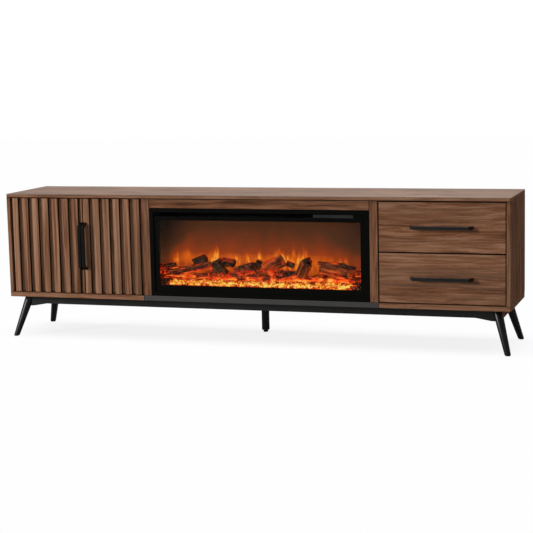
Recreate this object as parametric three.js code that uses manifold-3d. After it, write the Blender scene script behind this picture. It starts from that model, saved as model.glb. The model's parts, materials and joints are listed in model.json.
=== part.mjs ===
// A long, low media cabinet on a black steel base. The left bay has two doors
// faced with upright battens, the centre bay holds an electric fireplace insert
// and the right bay has two drawers. Millimetres, +Z up, +X along the cabinet,
// the front faces -Y, and the origin is under the centre of the whole object.
import * as THREE from "three";
import { mergeVertices } from "three/addons/utils/BufferGeometryUtils.js";
import Module from "manifold-3d";

const wasm = await Module();
wasm.setup();

// Cabinet body
const bodyLength = 2000;
const bodyDepth = 350;
const bodyHeight = 412;
const legHeight = 162;

// Boards and bays
const topThickness = 15;
const bottomThickness = 20;
const sideThickness = 15;
const partitionThickness = 32;
const backThickness = 5;
const leftBayWidth = 564;
const rightBayWidth = 471;
const topRailHeight = 36;
const topRailThickness = 16;
const frontSetback = 1;
const shelfThickness = 15;
const shelfSetback = 60;
const shelfHeightShare = 0.5;
const cableHoleRadius = 30;
const cableHoleSides = 32;
const cableHoleHeightShare = 0.25;
const backWindowWidthShare = 0.7;
const backWindowHeightShare = 0.62;

// Clearances that several pieces use
const clearance = 0.3;
const overrun = 5;

// Doors
const leftDoorWidth = 310.5;
const doorEdgeGap = 2.5;
const doorMiddleGap = 3.5;
const doorBackingThickness = 14;
const battenThickness = 12;
const battenWidth = 25;
const battenSpacing = 42;
const battenChamfer = 1.2;
const chamferLimitShare = 1 / 3;
const doorMargin = 7;
const endStripWidth = 7;
const endStripGap = 11.6;
const pivotInset = 8;
const pivotPinRadius = 3;
const pivotPinLength = 12;
const pivotFlangeRadius = 8;
const pinSides = 24;
const catchLength = 64;
const catchDepth = 16;
const catchHeight = 12;

// Pulls on doors and drawers
const pullReach = 28;
const pullWidth = 12;
const pullBarThickness = 10;
const pullLegThickness = 9;
const pullSlant = 13;
const pullEdge = 0.8;
const doorPullLength = 188;
const drawerPullLength = 234;

// Drawers
const drawerFrontThickness = 16;
const drawerEdgeGap = 2.5;
const drawerMiddleGap = 3;
const drawerBoxHeight = 130;
const drawerBoxDepth = 300;
const drawerBoxWall = 12;
const drawerBottomThickness = 5;
const drawerBottomRise = 10;
const runnerSpace = 13;
const runnerHeight = 36;
const runnerLength = 280;
const runnerSheet = 1.6;
const runnerLip = 7;
const runnerRunningGap = 0.5;

// Fireplace insert
const insertGap = 0.5;
const trimWidth = 15.5;
const trimThickness = 4;
const plateThickness = 3;
const windowMarginSide = 35;
const windowMarginBottom = 43;
const windowMarginTop = 46;
const glassThickness = 4;
const glassLap = 4;
const outletDrop = 17;
const outletHeight = 14;
const outletMargin = 22;
const outletRib = 2.4;
const outletRibCount = 5;
const controlStripWidth = 153;
const controlStripHeight = 12;
const controlStripThickness = 2;
const controlStripMargin = 61;
const stripGap = 6;
const housingGap = 4;
const housingWall = 2;
const housingDepth = 150;
const fireDepth = 80;
const screenThickness = 3;
const bedFrontHeight = 44;
const bedMiddleHeight = 62;
const bedBackHeight = 66;
const ductDepth = 108;
const ductGap = 1;
const ductWall = 1.6;
const intakeHeight = 16;
const intakeInset = 40;
const blowerGap = 1.4;
const blowerHubShare = 0.64;
const bladeShare = 0.4;
const blowerBlades = 16;
const flickerRadius = 18;
const flickerHubRadius = 4;
const flickerFlaps = 6;
const flapShare = 0.78;

// Switched power inlet on the back of the insert
const inletWidth = 52;
const inletHeight = 32;
const inletBodyDepth = 22;
const inletFlange = 3;
const inletFlangeLap = 3;
const inletInset = 70;
const inletRise = 60;
const socketWidth = 22;
const socketHeight = 16;
const socketDepth = 15;
const contactWidth = 2;
const contactHeight = 4;
const contactLength = 12;
const contactSpreadShare = 0.25;
const rockerPocketWidth = 14;
const rockerPocketHeight = 24;
const rockerPocketDepth = 12;
const rockerHeight = 20;
const rockerFaceReach = 5.8;
const rockerValley = 4.4;
const rockerFoot = 4;
const rockerFootShare = 0.5;
const rockerFloorGap = 0.6;
const rockerTilt = 7;

// Steel base
const railHeight = 33;
const railThickness = 22;
const railSetback = 45;
const gussetDrop = 10;
const gussetLength = 58;
const gussetEndShare = 0.5;
const legTopInset = 58;
const legTopRadius = 18.5;
const legFootRadius = 11.4;
const legFootRound = 5;
const legSides = 24;
const apronThickness = 15;
const apronInset = 35;
const centreLegX = -24;
const centreLegRadius = 15.5;
const centreGlideRadius = 9.5;
const centreGlideHeight = 9;

// A foot's rounding: height and pull inwards, as shares of the foot's round
const footRoundShares = [[0, 0.6], [0.4, 0.2], [1, 0]];

// Logs: both ends across and up the window, then radius as a share of the
// window's height and depth as a share of the space from glass to screen
const logShares = [
  [-0.02, 0.1, 0.37, 0.11, 0.044, 0.56],
  [0.34, 0.12, 0.69, 0.105, 0.046, 0.53],
  [0.66, 0.11, 1.02, 0.12, 0.044, 0.56],
  [-0.025, 0.25, 0.052, 0.28, 0.05, 0.5],
  [-0.022, 0.165, 0.052, 0.16, 0.05, 0.47],
  [0.081, 0.163, 0.222, 0.275, 0.06, 0.475],
  [0.153, 0.326, 0.2, 0.407, 0.073, 0.6],
  [0.27, 0.38, 0.298, 0.166, 0.081, 0.45],
  [0.285, 0.359, 0.351, 0.317, 0.063, 0.6],
  [0.234, 0.163, 0.27, 0.228, 0.059, 0.42],
  [0.368, 0.207, 0.476, 0.345, 0.074, 0.5],
  [0.451, 0.262, 0.475, 0.379, 0.042, 0.58],
  [0.504, 0.239, 0.595, 0.375, 0.08, 0.525],
  [0.467, 0.158, 0.558, 0.18, 0.042, 0.42],
  [0.572, 0.182, 0.665, 0.2, 0.06, 0.49],
  [0.612, 0.349, 0.648, 0.298, 0.034, 0.55],
  [0.64, 0.31, 0.66, 0.2, 0.034, 0.52],
  [0.686, 0.178, 0.729, 0.37, 0.072, 0.5],
  [0.751, 0.338, 0.759, 0.126, 0.032, 0.44],
  [0.787, 0.268, 0.817, 0.12, 0.036, 0.46],
  [0.755, 0.3, 0.856, 0.28, 0.03, 0.5],
  [0.827, 0.235, 0.933, 0.198, 0.071, 0.475],
  [0.863, 0.31, 0.945, 0.28, 0.036, 0.52],
  [0.946, 0.182, 0.98, 0.259, 0.049, 0.525],
];
const logTaperShare = 0.9;
const logSides = 8;

// Where the main faces lie
const handleReach = pullReach - frontSetback;
const frontY = (handleReach - bodyDepth) / 2;
const backY = frontY + bodyDepth;
const innerBackY = backY - backThickness;
const faceY = frontY + frontSetback;
const baseZ = legHeight;
const floorZ = baseZ + bottomThickness;
const topZ = baseZ + bodyHeight;
const ceilingZ = topZ - topThickness;
const endX = bodyLength / 2;
const leftBay = [sideThickness - endX, sideThickness - endX + leftBayWidth];
const rightBay = [endX - sideThickness - rightBayWidth, endX - sideThickness];
const centreBay = [leftBay[1] + partitionThickness, rightBay[0] - partitionThickness];

// Finishes
const finish = (color, roughness, metalness, extra = {}) =>
  new THREE.MeshStandardMaterial({ color, roughness, metalness, ...extra });
const walnutTop = finish(0x96846f, 0.6, 0);
const walnut = finish(0x7d5a45, 0.6, 0);
const walnutDark = finish(0x5a3f30, 0.6, 0);
const greyBoard = finish(0x48443e, 0.65, 0);
const hardboard = finish(0x2e2723, 0.8, 0);
const drawerBoard = finish(0x8b7d6c, 0.7, 0);
const blackSteel = finish(0x1b1c1d, 0.45, 0.6);
const zincSteel = finish(0xa7a9ab, 0.35, 0.9);
const insertBlack = finish(0x0c0d0d, 0.4, 0.3);
const controlGrey = finish(0x252828, 0.4, 0.1);
const glass = finish(0x101010, 0.05, 0, { transparent: true, opacity: 0.25 });
const screenFilm = finish(0x6a3018, 0.5, 0);
const emberFinish = finish(0xe08a2a, 0.6, 0);
const logFinish = finish(0x2a201b, 0.9, 0);
const rotorFoil = finish(0xc8c8c8, 0.25, 0.9);
const switchPlastic = finish(0x151515, 0.5, 0);

const cabinet = new THREE.Group();

function add(name, geometry, material) {
  const mesh = new THREE.Mesh(geometry, material);
  mesh.name = name;
  cabinet.add(mesh);
  return mesh;
}

// A box that fills exactly these three ranges
function slab([x0, x1], [y0, y1], [z0, z1]) {
  const geometry = new THREE.BoxGeometry(1, 1, 1);
  const spot = geometry.attributes.position;
  for (let i = 0; i < spot.count; i += 1) {
    spot.setXYZ(
      i,
      spot.getX(i) < 0 ? x0 : x1,
      spot.getY(i) < 0 ? y0 : y1,
      spot.getZ(i) < 0 ? z0 : z1,
    );
  }
  return geometry;
}

// An outline pushed along one axis from low to high. The outline's two
// coordinates are X,Y along Z, Y,Z along X and Z,X along Y.
function prism(points, axis, low, high, edge = 0) {
  const shape = new THREE.Shape(points.map(([u, v]) => new THREE.Vector2(u, v)));
  const geometry = new THREE.ExtrudeGeometry(shape, {
    depth: high - low - 2 * edge,
    bevelEnabled: edge > 0,
    bevelThickness: edge,
    bevelSize: edge,
    bevelOffset: -edge,
    bevelSegments: 1,
    curveSegments: 1,
  });
  const spot = geometry.attributes.position;
  for (let i = 0; i < spot.count; i += 1) {
    const [u, v, w] = [spot.getX(i), spot.getY(i), spot.getZ(i) + low + edge];
    if (axis === "z") spot.setXYZ(i, u, v, w);
    if (axis === "x") spot.setXYZ(i, w, u, v);
    if (axis === "y") spot.setXYZ(i, v, w, u);
  }
  geometry.computeVertexNormals();
  return geometry;
}

function circle(centreU, centreV, radius, sides) {
  return Array.from({ length: sides }, (_, i) => {
    const angle = (2 * Math.PI * (i + 0.5)) / sides;
    return [centreU + radius * Math.cos(angle), centreV + radius * Math.sin(angle)];
  });
}

function solidOf(geometry) {
  const bare = geometry.clone();
  bare.deleteAttribute("normal");
  bare.deleteAttribute("uv");
  const merged = mergeVertices(bare);
  return new wasm.Manifold(new wasm.Mesh({
    numProp: 3,
    vertProperties: new Float32Array(merged.attributes.position.array),
    triVerts: new Uint32Array(merged.index.array),
  }));
}

function geometryOf(solid) {
  const mesh = solid.getMesh();
  const geometry = new THREE.BufferGeometry();
  geometry.setAttribute("position", new THREE.BufferAttribute(mesh.vertProperties, 3));
  geometry.setIndex(new THREE.BufferAttribute(mesh.triVerts, 1));
  const flat = geometry.toNonIndexed();
  flat.computeVertexNormals();
  return flat;
}

function cut(geometry, ...tools) {
  let solid = solidOf(geometry);
  for (const tool of tools) solid = solid.subtract(solidOf(tool));
  return geometryOf(solid);
}

function join(...pieces) {
  let solid = solidOf(pieces[0]);
  for (const piece of pieces.slice(1)) solid = solid.add(solidOf(piece));
  return geometryOf(solid);
}

// Rings of points, bottom to top, skinned and capped into one closed body
function loft(rings) {
  const count = rings[0].length;
  const points = rings.flat(2);
  const faces = [];
  for (let r = 0; r + 1 < rings.length; r += 1) {
    for (let i = 0; i < count; i += 1) {
      const [a, b] = [r * count + i, r * count + ((i + 1) % count)];
      faces.push(a, b, b + count, a, b + count, a + count);
    }
  }
  const last = (rings.length - 1) * count;
  for (let i = 1; i + 1 < count; i += 1) {
    faces.push(0, i + 1, i, last, last + i, last + i + 1);
  }
  const geometry = new THREE.BufferGeometry();
  geometry.setAttribute("position", new THREE.Float32BufferAttribute(points, 3));
  geometry.setIndex(signedVolume(points, faces) < 0 ? faces.slice().reverse() : faces);
  const flat = geometry.toNonIndexed();
  flat.computeVertexNormals();
  return flat;
}

function signedVolume(points, faces) {
  let sum = 0;
  const corner = (i) => new THREE.Vector3(points[3 * i], points[3 * i + 1], points[3 * i + 2]);
  for (let i = 0; i < faces.length; i += 3) {
    sum += corner(faces[i]).dot(corner(faces[i + 1]).cross(corner(faces[i + 2])));
  }
  return sum;
}

const middle = ([low, high]) => (low + high) / 2;
const around = (centre, size) => [centre - size / 2, centre + size / 2];

// Carcass
const boardY = [frontY, innerBackY];
add("top_panel", slab([-endX, endX], [frontY, backY], [ceilingZ, topZ]), walnutTop);
add("left_side_panel", slab([-endX, leftBay[0]], [frontY, backY], [floorZ, ceilingZ]), walnut);
add("right_side_panel", slab([rightBay[1], endX], [frontY, backY], [floorZ, ceilingZ]), walnutDark);
add("left_bottom_panel", slab([-endX, leftBay[1]], boardY, [baseZ, floorZ]), walnut);
add("centre_bottom_panel", slab([leftBay[1], rightBay[0]], boardY, [baseZ, floorZ]), greyBoard);
add("right_bottom_panel", slab([rightBay[0], endX], boardY, [baseZ, floorZ]), walnut);
add("left_partition", slab([leftBay[1], centreBay[0]], boardY, [floorZ, ceilingZ]), walnut);
add("right_partition", slab([centreBay[1], rightBay[0]], boardY, [floorZ, ceilingZ]), walnut);
add(
  "centre_top_rail",
  slab(centreBay, [frontY, frontY + topRailThickness], [ceilingZ - topRailHeight, ceilingZ]),
  walnut,
);

// Back panels, let in between the side panels and under the top
const backSeams = [middle([leftBay[1], centreBay[0]]), middle([centreBay[1], rightBay[0]])];
const backSpanY = [innerBackY, backY];
const cutY = [innerBackY - overrun, backY + overrun];
const leftBackHoleZ = floorZ + (ceilingZ - floorZ) * cableHoleHeightShare;
const cableHole = prism(
  circle(leftBackHoleZ, middle(leftBay), cableHoleRadius, cableHoleSides),
  "y",
  ...cutY,
);
const backWindowX = around(middle(centreBay), (centreBay[1] - centreBay[0]) * backWindowWidthShare);
const backWindowZ = around(middle([floorZ, ceilingZ]), (ceilingZ - floorZ) * backWindowHeightShare);
add(
  "left_back_panel",
  cut(slab([leftBay[0], backSeams[0]], backSpanY, [baseZ, ceilingZ]), cableHole),
  hardboard,
);
add(
  "centre_back_panel",
  cut(slab(backSeams, backSpanY, [baseZ, ceilingZ]), slab(backWindowX, cutY, backWindowZ)),
  hardboard,
);
add("right_back_panel", slab([backSeams[1], rightBay[1]], backSpanY, [baseZ, ceilingZ]), hardboard);

// Shelf behind the doors
const shelfZ = floorZ + (ceilingZ - floorZ - shelfThickness) * shelfHeightShare;
add(
  "cabinet_shelf",
  slab(leftBay, [frontY + shelfSetback, innerBackY], [shelfZ, shelfZ + shelfThickness]),
  walnut,
);

// A pull is an arched flat bar with splayed legs. Its outline gives the place
// along its length and the reach in front of the face that it is fixed to.
function pullOutline(centre, length) {
  const start = centre - length / 2;
  const end = centre + length / 2;
  const inside = pullReach - pullBarThickness;
  const innerSlant = pullLegThickness + (pullSlant * inside) / pullReach;
  return [
    [start, 0], [start + pullSlant, pullReach], [end - pullSlant, pullReach], [end, 0],
    [end - pullLegThickness, 0], [end - innerSlant, inside],
    [start + innerSlant, inside], [start + pullLegThickness, 0],
  ];
}

// Doors: a backing board with battens planted on its face, as one leaf
const doorY = [faceY, faceY + battenThickness + doorBackingThickness];
const backingY = faceY + battenThickness;
const doorZ = [floorZ + doorEdgeGap, ceilingZ - doorEdgeGap];
const leftDoorX = [leftBay[0] + doorEdgeGap, leftBay[0] + doorEdgeGap + leftDoorWidth];
const rightDoorX = [leftDoorX[1] + doorMiddleGap, leftBay[1] - doorEdgeGap];

function battenStarts(first, lastEnd) {
  const span = lastEnd - battenWidth - first;
  const steps = Math.max(1, Math.floor(span / battenSpacing));
  return Array.from({ length: steps + 1 }, (_, i) => first + (span * i) / steps);
}

function doorOutline([left, right], strips) {
  const front = [];
  for (const [start, end] of strips) {
    const chamfer = Math.min(battenChamfer, (end - start) * chamferLimitShare);
    front.push([start, backingY], [start, faceY + chamfer], [start + chamfer, faceY]);
    front.push([end - chamfer, faceY], [end, faceY + chamfer], [end, backingY]);
  }
  const whole = [[left, doorY[1]], [left, backingY], ...front, [right, backingY], [right, doorY[1]]];
  return whole.filter(([u, v], i) => i === 0 || u !== whole[i - 1][0] || v !== whole[i - 1][1]);
}

const leftStarts = battenStarts(leftDoorX[0] + doorMargin, leftDoorX[1] - endStripWidth - endStripGap);
const rightStarts = battenStarts(rightDoorX[0], rightDoorX[1] - doorMargin);
const leftStrips = [
  ...leftStarts.map((start) => [start, start + battenWidth]),
  [leftDoorX[1] - endStripWidth, leftDoorX[1]],
];
const rightStrips = rightStarts.map((start) => [start, start + battenWidth]);
const pivotY = faceY + pivotInset;
const doors = [
  {
    side: "left",
    span: leftDoorX,
    strips: leftStrips,
    pivotX: leftDoorX[0] + doorMargin + battenWidth / 2,
    pullX: [leftDoorX[1] - pullWidth, leftDoorX[1]],
  },
  {
    side: "right",
    span: rightDoorX,
    strips: rightStrips,
    pivotX: rightDoorX[1] - doorMargin - battenWidth / 2,
    pullX: [rightDoorX[0], rightDoorX[0] + pullWidth],
  },
];
const pinReach = doorEdgeGap + pivotPinLength;
const flangeThickness = doorEdgeGap - clearance;
for (const door of doors) {
  const bore = circle(door.pivotX, pivotY, pivotPinRadius + clearance, pinSides);
  const pin = circle(door.pivotX, pivotY, pivotPinRadius, pinSides);
  const flange = circle(door.pivotX, pivotY, pivotFlangeRadius, pinSides);
  const leaf = prism(doorOutline(door.span, door.strips), "z", ...doorZ);
  const lowBore = prism(bore, "z", doorZ[0] - overrun, floorZ + pinReach + clearance);
  const highBore = prism(bore, "z", ceilingZ - pinReach - clearance, doorZ[1] + overrun);
  add(`${door.side}_door`, cut(leaf, lowBore, highBore), walnut);
  const pull = pullOutline(middle(doorZ), doorPullLength).map(([z, out]) => [faceY - out, z]);
  add(`${door.side}_door_handle`, prism(pull, "x", ...door.pullX, pullEdge), blackSteel);
  add(
    `${door.side}_door_lower_pivot`,
    join(prism(flange, "z", floorZ, floorZ + flangeThickness), prism(pin, "z", floorZ, floorZ + pinReach)),
    zincSteel,
  );
  add(
    `${door.side}_door_upper_pivot`,
    join(
      prism(flange, "z", ceilingZ - flangeThickness, ceilingZ),
      prism(pin, "z", ceilingZ - pinReach, ceilingZ),
    ),
    zincSteel,
  );
}
const meetingX = middle([leftDoorX[1], rightDoorX[0]]);
add(
  "door_magnet_catch",
  slab(
    around(meetingX, catchLength),
    [doorY[1] + clearance, doorY[1] + clearance + catchDepth],
    [ceilingZ - catchHeight, ceilingZ],
  ),
  switchPlastic,
);

// Drawers
const drawerX = [rightBay[0] + drawerEdgeGap, rightBay[1] - drawerEdgeGap];
const drawerSplitZ = middle([floorZ + drawerEdgeGap, ceilingZ - drawerEdgeGap]);
const boxX = [rightBay[0] + runnerSpace, rightBay[1] - runnerSpace];
const boxY = [faceY + drawerFrontThickness, faceY + drawerFrontThickness + drawerBoxDepth];

// A sheet channel along Y whose open side looks along side, +1 or -1 on X
function channel(wallX, side, heightZ, lip, yRange) {
  const [low, high] = heightZ;
  const points = [
    [low, wallX], [low, wallX + side * lip], [low + runnerSheet, wallX + side * lip],
    [low + runnerSheet, wallX + side * runnerSheet], [high - runnerSheet, wallX + side * runnerSheet],
    [high - runnerSheet, wallX + side * lip], [high, wallX + side * lip], [high, wallX],
  ];
  return prism(points, "y", ...yRange);
}

const drawers = [
  { level: "lower", zRange: [floorZ + drawerEdgeGap, drawerSplitZ - drawerMiddleGap / 2] },
  { level: "upper", zRange: [drawerSplitZ + drawerMiddleGap / 2, ceilingZ - drawerEdgeGap] },
];
for (const { level, zRange } of drawers) {
  const frontSpan = [faceY, faceY + drawerFrontThickness];
  const boxZ = around(middle(zRange), drawerBoxHeight);
  const insideX = [boxX[0] + drawerBoxWall, boxX[1] - drawerBoxWall];
  const insideY = [boxY[0] + drawerBoxWall, boxY[1] - drawerBoxWall];
  const boreZ = [boxZ[0] - overrun, boxZ[1] + overrun];
  const bottomZ = boxZ[0] + drawerBottomRise;
  add(`${level}_drawer_front`, slab(drawerX, frontSpan, zRange), walnut);
  add(`${level}_drawer_box`, cut(slab(boxX, boxY, boxZ), slab(insideX, insideY, boreZ)), drawerBoard);
  add(
    `${level}_drawer_bottom`,
    slab(
      [insideX[0] + clearance, insideX[1] - clearance],
      [insideY[0] + clearance, insideY[1] - clearance],
      [bottomZ, bottomZ + drawerBottomThickness],
    ),
    drawerBoard,
  );
  const pull = pullOutline(middle(drawerX), drawerPullLength).map(([x, out]) => [x, faceY - out]);
  const pullZ = around(middle(zRange), pullWidth);
  add(`${level}_drawer_handle`, prism(pull, "z", ...pullZ, pullEdge), blackSteel);
  const outerZ = around(middle(zRange), runnerHeight);
  const innerInset = runnerSheet + runnerRunningGap;
  const innerZ = [outerZ[0] + innerInset, outerZ[1] - innerInset];
  const runnerY = [boxY[0] + clearance, boxY[0] + clearance + runnerLength];
  const innerLip = runnerSpace - runnerSheet - runnerRunningGap;
  const sides = [["left", rightBay[0], boxX[0], 1], ["right", rightBay[1], boxX[1], -1]];
  for (const [side, wallX, drawerSideX, inward] of sides) {
    add(
      `${level}_${side}_cabinet_runner`,
      channel(wallX, inward, outerZ, runnerLip, runnerY),
      zincSteel,
    );
    add(
      `${level}_${side}_drawer_runner`,
      channel(drawerSideX, -inward, innerZ, innerLip, runnerY),
      zincSteel,
    );
  }
}

// Fireplace insert: trim ring, front plate and housing in a row behind each other
const insertX = [centreBay[0] + insertGap, centreBay[1] - insertGap];
const insertZ = [floorZ, ceilingZ - topRailHeight - insertGap];
const openingTopZ = ceilingZ - topRailHeight;
const plateY = [faceY + trimThickness, faceY + trimThickness + plateThickness];
const windowX = [centreBay[0] + windowMarginSide, centreBay[1] - windowMarginSide];
const windowZ = [floorZ + windowMarginBottom, openingTopZ - windowMarginTop];
const outletZ = [openingTopZ - outletDrop - outletHeight, openingTopZ - outletDrop];
const stripX = [
  centreBay[1] - controlStripMargin - controlStripWidth,
  centreBay[1] - controlStripMargin,
];
const outletX = [centreBay[0] + outletMargin, stripX[0] - stripGap];
const inset = ([low, high], amount) => [low + amount, high - amount];

add(
  "fireplace_trim",
  cut(
    slab(insertX, [faceY, plateY[0]], insertZ),
    slab(inset(insertX, trimWidth), [faceY - overrun, plateY[0] + overrun], inset(insertZ, trimWidth)),
  ),
  insertBlack,
);

// The warm air outlet is a row of slots with upright ribs between them
const outletSlots = [];
const slotLength = (outletX[1] - outletX[0] - outletRibCount * outletRib) / (outletRibCount + 1);
for (let i = 0; i <= outletRibCount; i += 1) {
  const start = outletX[0] + i * (slotLength + outletRib);
  outletSlots.push([start, start + slotLength]);
}
const throughPlateY = [plateY[0] - overrun, plateY[1] + overrun];
add(
  "fireplace_front_plate",
  cut(
    slab(insertX, plateY, insertZ),
    slab(windowX, throughPlateY, windowZ),
    ...outletSlots.map((slotX) => slab(slotX, throughPlateY, outletZ)),
  ),
  insertBlack,
);
add(
  "fireplace_control_strip",
  slab(stripX, [plateY[0] - controlStripThickness, plateY[0]], around(middle(outletZ), controlStripHeight)),
  controlGrey,
);
const glassY = [plateY[1], plateY[1] + glassThickness];
add("fireplace_glass", slab(inset(windowX, -glassLap), glassY, inset(windowZ, -glassLap)), glass);

const housingX = inset(centreBay, housingGap);
const housingZ = [floorZ, openingTopZ - housingGap];
const housingY = [plateY[1], plateY[1] + housingDepth];
const cavityX = inset(housingX, housingWall);
const cavityZ = inset(housingZ, housingWall);
const cavityBackY = housingY[1] - housingWall;
const inletX = around(housingX[1] - inletInset, inletWidth);
const flickerZ = windowZ[0];
const inletZ = around(flickerZ + flickerRadius + inletRise, inletHeight);
const inletHole = slab(
  inset(inletX, -clearance),
  [cavityBackY - overrun, housingY[1] + overrun],
  inset(inletZ, -clearance),
);
add(
  "fireplace_housing",
  cut(
    slab(housingX, housingY, housingZ),
    slab(cavityX, [housingY[0] - overrun, cavityBackY], cavityZ),
    inletHole,
  ),
  zincSteel,
);

// Heater duct behind the outlet, with the blower wheel inside it
const ductX = inset(outletX, -stripGap);
const ductY = [plateY[1] + clearance, plateY[1] + clearance + ductDepth];
const ductZ = [windowZ[1] + glassLap + ductGap, cavityZ[1] - clearance];
const ductInsideX = inset(ductX, ductWall);
const ductInsideZ = inset(ductZ, ductWall);
const ductInsideY = [ductY[0] - overrun, ductY[1] - ductWall];
add(
  "heater_duct",
  cut(
    slab(ductX, ductY, ductZ),
    slab(ductInsideX, ductInsideY, ductInsideZ),
    slab(
      inset(ductInsideX, intakeInset),
      [ductInsideY[1] - overrun, ductY[1] + overrun],
      around(middle(ductZ), intakeHeight),
    ),
  ),
  zincSteel,
);
const blowerRadius = (ductInsideZ[1] - ductInsideZ[0]) / 2 - blowerGap;
const blowerY = ductInsideY[1] - blowerRadius - blowerGap;
const blowerZ = middle(ductZ);

// Blades or flaps round a hub, in Y and Z
function paddleOutline(centreY, centreZ, hub, tip, blades, widthShare) {
  const points = [];
  for (let i = 0; i < blades; i += 1) {
    const step = (2 * Math.PI) / blades;
    const half = (step * widthShare) / 2;
    const angle = i * step;
    const tipHalf = (half * hub) / tip;
    for (const [radius, turn] of [[hub, -half], [tip, -tipHalf], [tip, tipHalf], [hub, half]]) {
      points.push([
        centreY + radius * Math.cos(angle + turn),
        centreZ + radius * Math.sin(angle + turn),
      ]);
    }
  }
  return points;
}
add(
  "blower_wheel",
  prism(
    paddleOutline(blowerY, blowerZ, blowerRadius * blowerHubShare, blowerRadius, blowerBlades, bladeShare),
    "x",
    ...inset(ductInsideX, clearance),
  ),
  switchPlastic,
);

// Flame screen, ember bed and logs
const screenY = [glassY[1] + fireDepth, glassY[1] + fireDepth + screenThickness];
const screenTopZ = ductZ[0] - clearance;
add(
  "flame_screen",
  slab(inset(cavityX, clearance), screenY, [cavityZ[0], screenTopZ]),
  screenFilm,
);
const bedY = [glassY[1] + clearance, screenY[0] - clearance];
const bedMiddleY = middle(bedY);

function bedOutline(lift) {
  return [
    [bedY[0], floorZ + housingWall],
    [bedY[1], floorZ + housingWall],
    [bedY[1], floorZ + bedBackHeight + lift],
    [bedMiddleY, floorZ + bedMiddleHeight + lift],
    [bedY[0], floorZ + bedFrontHeight + lift],
  ];
}
add("ember_bed", prism(bedOutline(0), "x", ...inset(cavityX, clearance)), emberFinish);

const windowWidth = windowX[1] - windowX[0];
const windowHeight = windowZ[1] - windowZ[0];

function log([fromX, fromZ, toX, toZ, girth, depth]) {
  const inWindow = (acrossShare, upShare) => new THREE.Vector3(
    windowX[0] + windowWidth * acrossShare,
    glassY[1] + fireDepth * depth,
    windowZ[0] + windowHeight * upShare,
  );
  const start = inWindow(fromX, fromZ);
  const end = inWindow(toX, toZ);
  const along = end.clone().sub(start);
  const radius = windowHeight * girth;
  const geometry = new THREE.CylinderGeometry(radius * logTaperShare, radius, along.length(), logSides);
  const turn = new THREE.Quaternion();
  turn.setFromUnitVectors(new THREE.Vector3(0, 1, 0), along.clone().normalize());
  geometry.applyQuaternion(turn);
  const centre = start.add(end).multiplyScalar(1 / 2);
  geometry.translate(centre.x, centre.y, centre.z);
  return geometry;
}
add(
  "log_pile",
  cut(join(...logShares.map(log)), prism(bedOutline(clearance), "x", ...inset(cavityX, -overrun))),
  logFinish,
);

// Flicker rotor behind the screen, turning between the housing's end walls
const flickerY = middle([screenY[1], cavityBackY]);
add(
  "flicker_rotor",
  prism(
    paddleOutline(flickerY, flickerZ, flickerHubRadius, flickerRadius, flickerFlaps, flapShare),
    "x",
    ...inset(cavityX, clearance),
  ),
  rotorFoil,
);

// Switched inlet: a block through the housing's back, its socket and its rocker
const inletBackY = housingY[1] + inletFlange;
const inletFrontY = inletBackY - inletFlange - inletBodyDepth;
const inletEdges = 3;
const pocketEdge = (inletWidth - socketWidth - rockerPocketWidth) / inletEdges;
const socketX = [inletX[0] + pocketEdge, inletX[0] + pocketEdge + socketWidth];
const pocketX = [inletX[1] - pocketEdge - rockerPocketWidth, inletX[1] - pocketEdge];
const inletMiddleZ = middle(inletZ);
const socketFloorY = inletBackY - socketDepth;
const contactStep = socketWidth * contactSpreadShare;
const contactPlaces = [-1, 0, 1].map((place) => middle(socketX) + place * contactStep);
const contactEnds = [socketFloorY - ductWall, socketFloorY + contactLength];
add(
  "power_inlet",
  join(
    cut(
      join(
        slab(inletX, [inletFrontY, inletBackY], inletZ),
        slab(
          inset(inletX, -inletFlangeLap),
          [housingY[1], inletBackY],
          inset(inletZ, -inletFlangeLap),
        ),
      ),
      slab(socketX, [socketFloorY, inletBackY + overrun], around(inletMiddleZ, socketHeight)),
      slab(
        pocketX,
        [inletBackY - rockerPocketDepth, inletBackY + overrun],
        around(inletMiddleZ, rockerPocketHeight),
      ),
    ),
    ...contactPlaces.map((x) =>
      slab(around(x, contactWidth), contactEnds, around(inletMiddleZ, contactHeight))),
  ),
  switchPlastic,
);
const rockerPivotY = inletBackY - rockerPocketDepth + rockerFoot + rockerFloorGap;
const rockerTurn = THREE.MathUtils.degToRad(rockerTilt);
const rockerTopZ = rockerHeight / 2;
const rockerFootZ = rockerTopZ * rockerFootShare;
const rockerOutline = [
  [rockerFaceReach, -rockerTopZ], [rockerValley, 0], [rockerFaceReach, rockerTopZ],
  [-rockerFoot, rockerFootZ], [-rockerFoot, -rockerFootZ],
];
add(
  "power_rocker",
  prism(
    rockerOutline.map(([y, z]) => [
      rockerPivotY + y * Math.cos(rockerTurn) - z * Math.sin(rockerTurn),
      inletMiddleZ + y * Math.sin(rockerTurn) + z * Math.cos(rockerTurn),
    ]),
    "x",
    ...inset(pocketX, clearance),
  ),
  switchPlastic,
);

// Base: leaning round legs, rails with gussets, side aprons and a centre leg,
// which stands a little left of the middle
const footX = endX - legFootRadius;
const legTopX = endX - legTopInset;
const legTopDepth = bodyDepth / 2 - legTopInset;
const footDepth = bodyDepth / 2 - legFootRadius;
const bodyMiddleY = middle([frontY, backY]);

function legRings(sideX, sideY, gap) {
  const ring = (z, radius) => {
    const share = 1 - z / legHeight;
    const centreX = sideX * (legTopX + (footX - legTopX) * share);
    const centreY = bodyMiddleY + sideY * (legTopDepth + (footDepth - legTopDepth) * share);
    return circle(centreX, centreY, radius + gap, legSides).map(([x, y]) => [x, y, z]);
  };
  const radiusAt = (z) => legFootRadius + ((legTopRadius - legFootRadius) * z) / legHeight;
  const footRings = footRoundShares.map(([rise, pull]) => {
    const z = legFootRound * rise;
    return ring(z, radiusAt(z) - legFootRound * pull);
  });
  return [...footRings, ring(legHeight, radiusAt(legHeight))];
}

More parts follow.
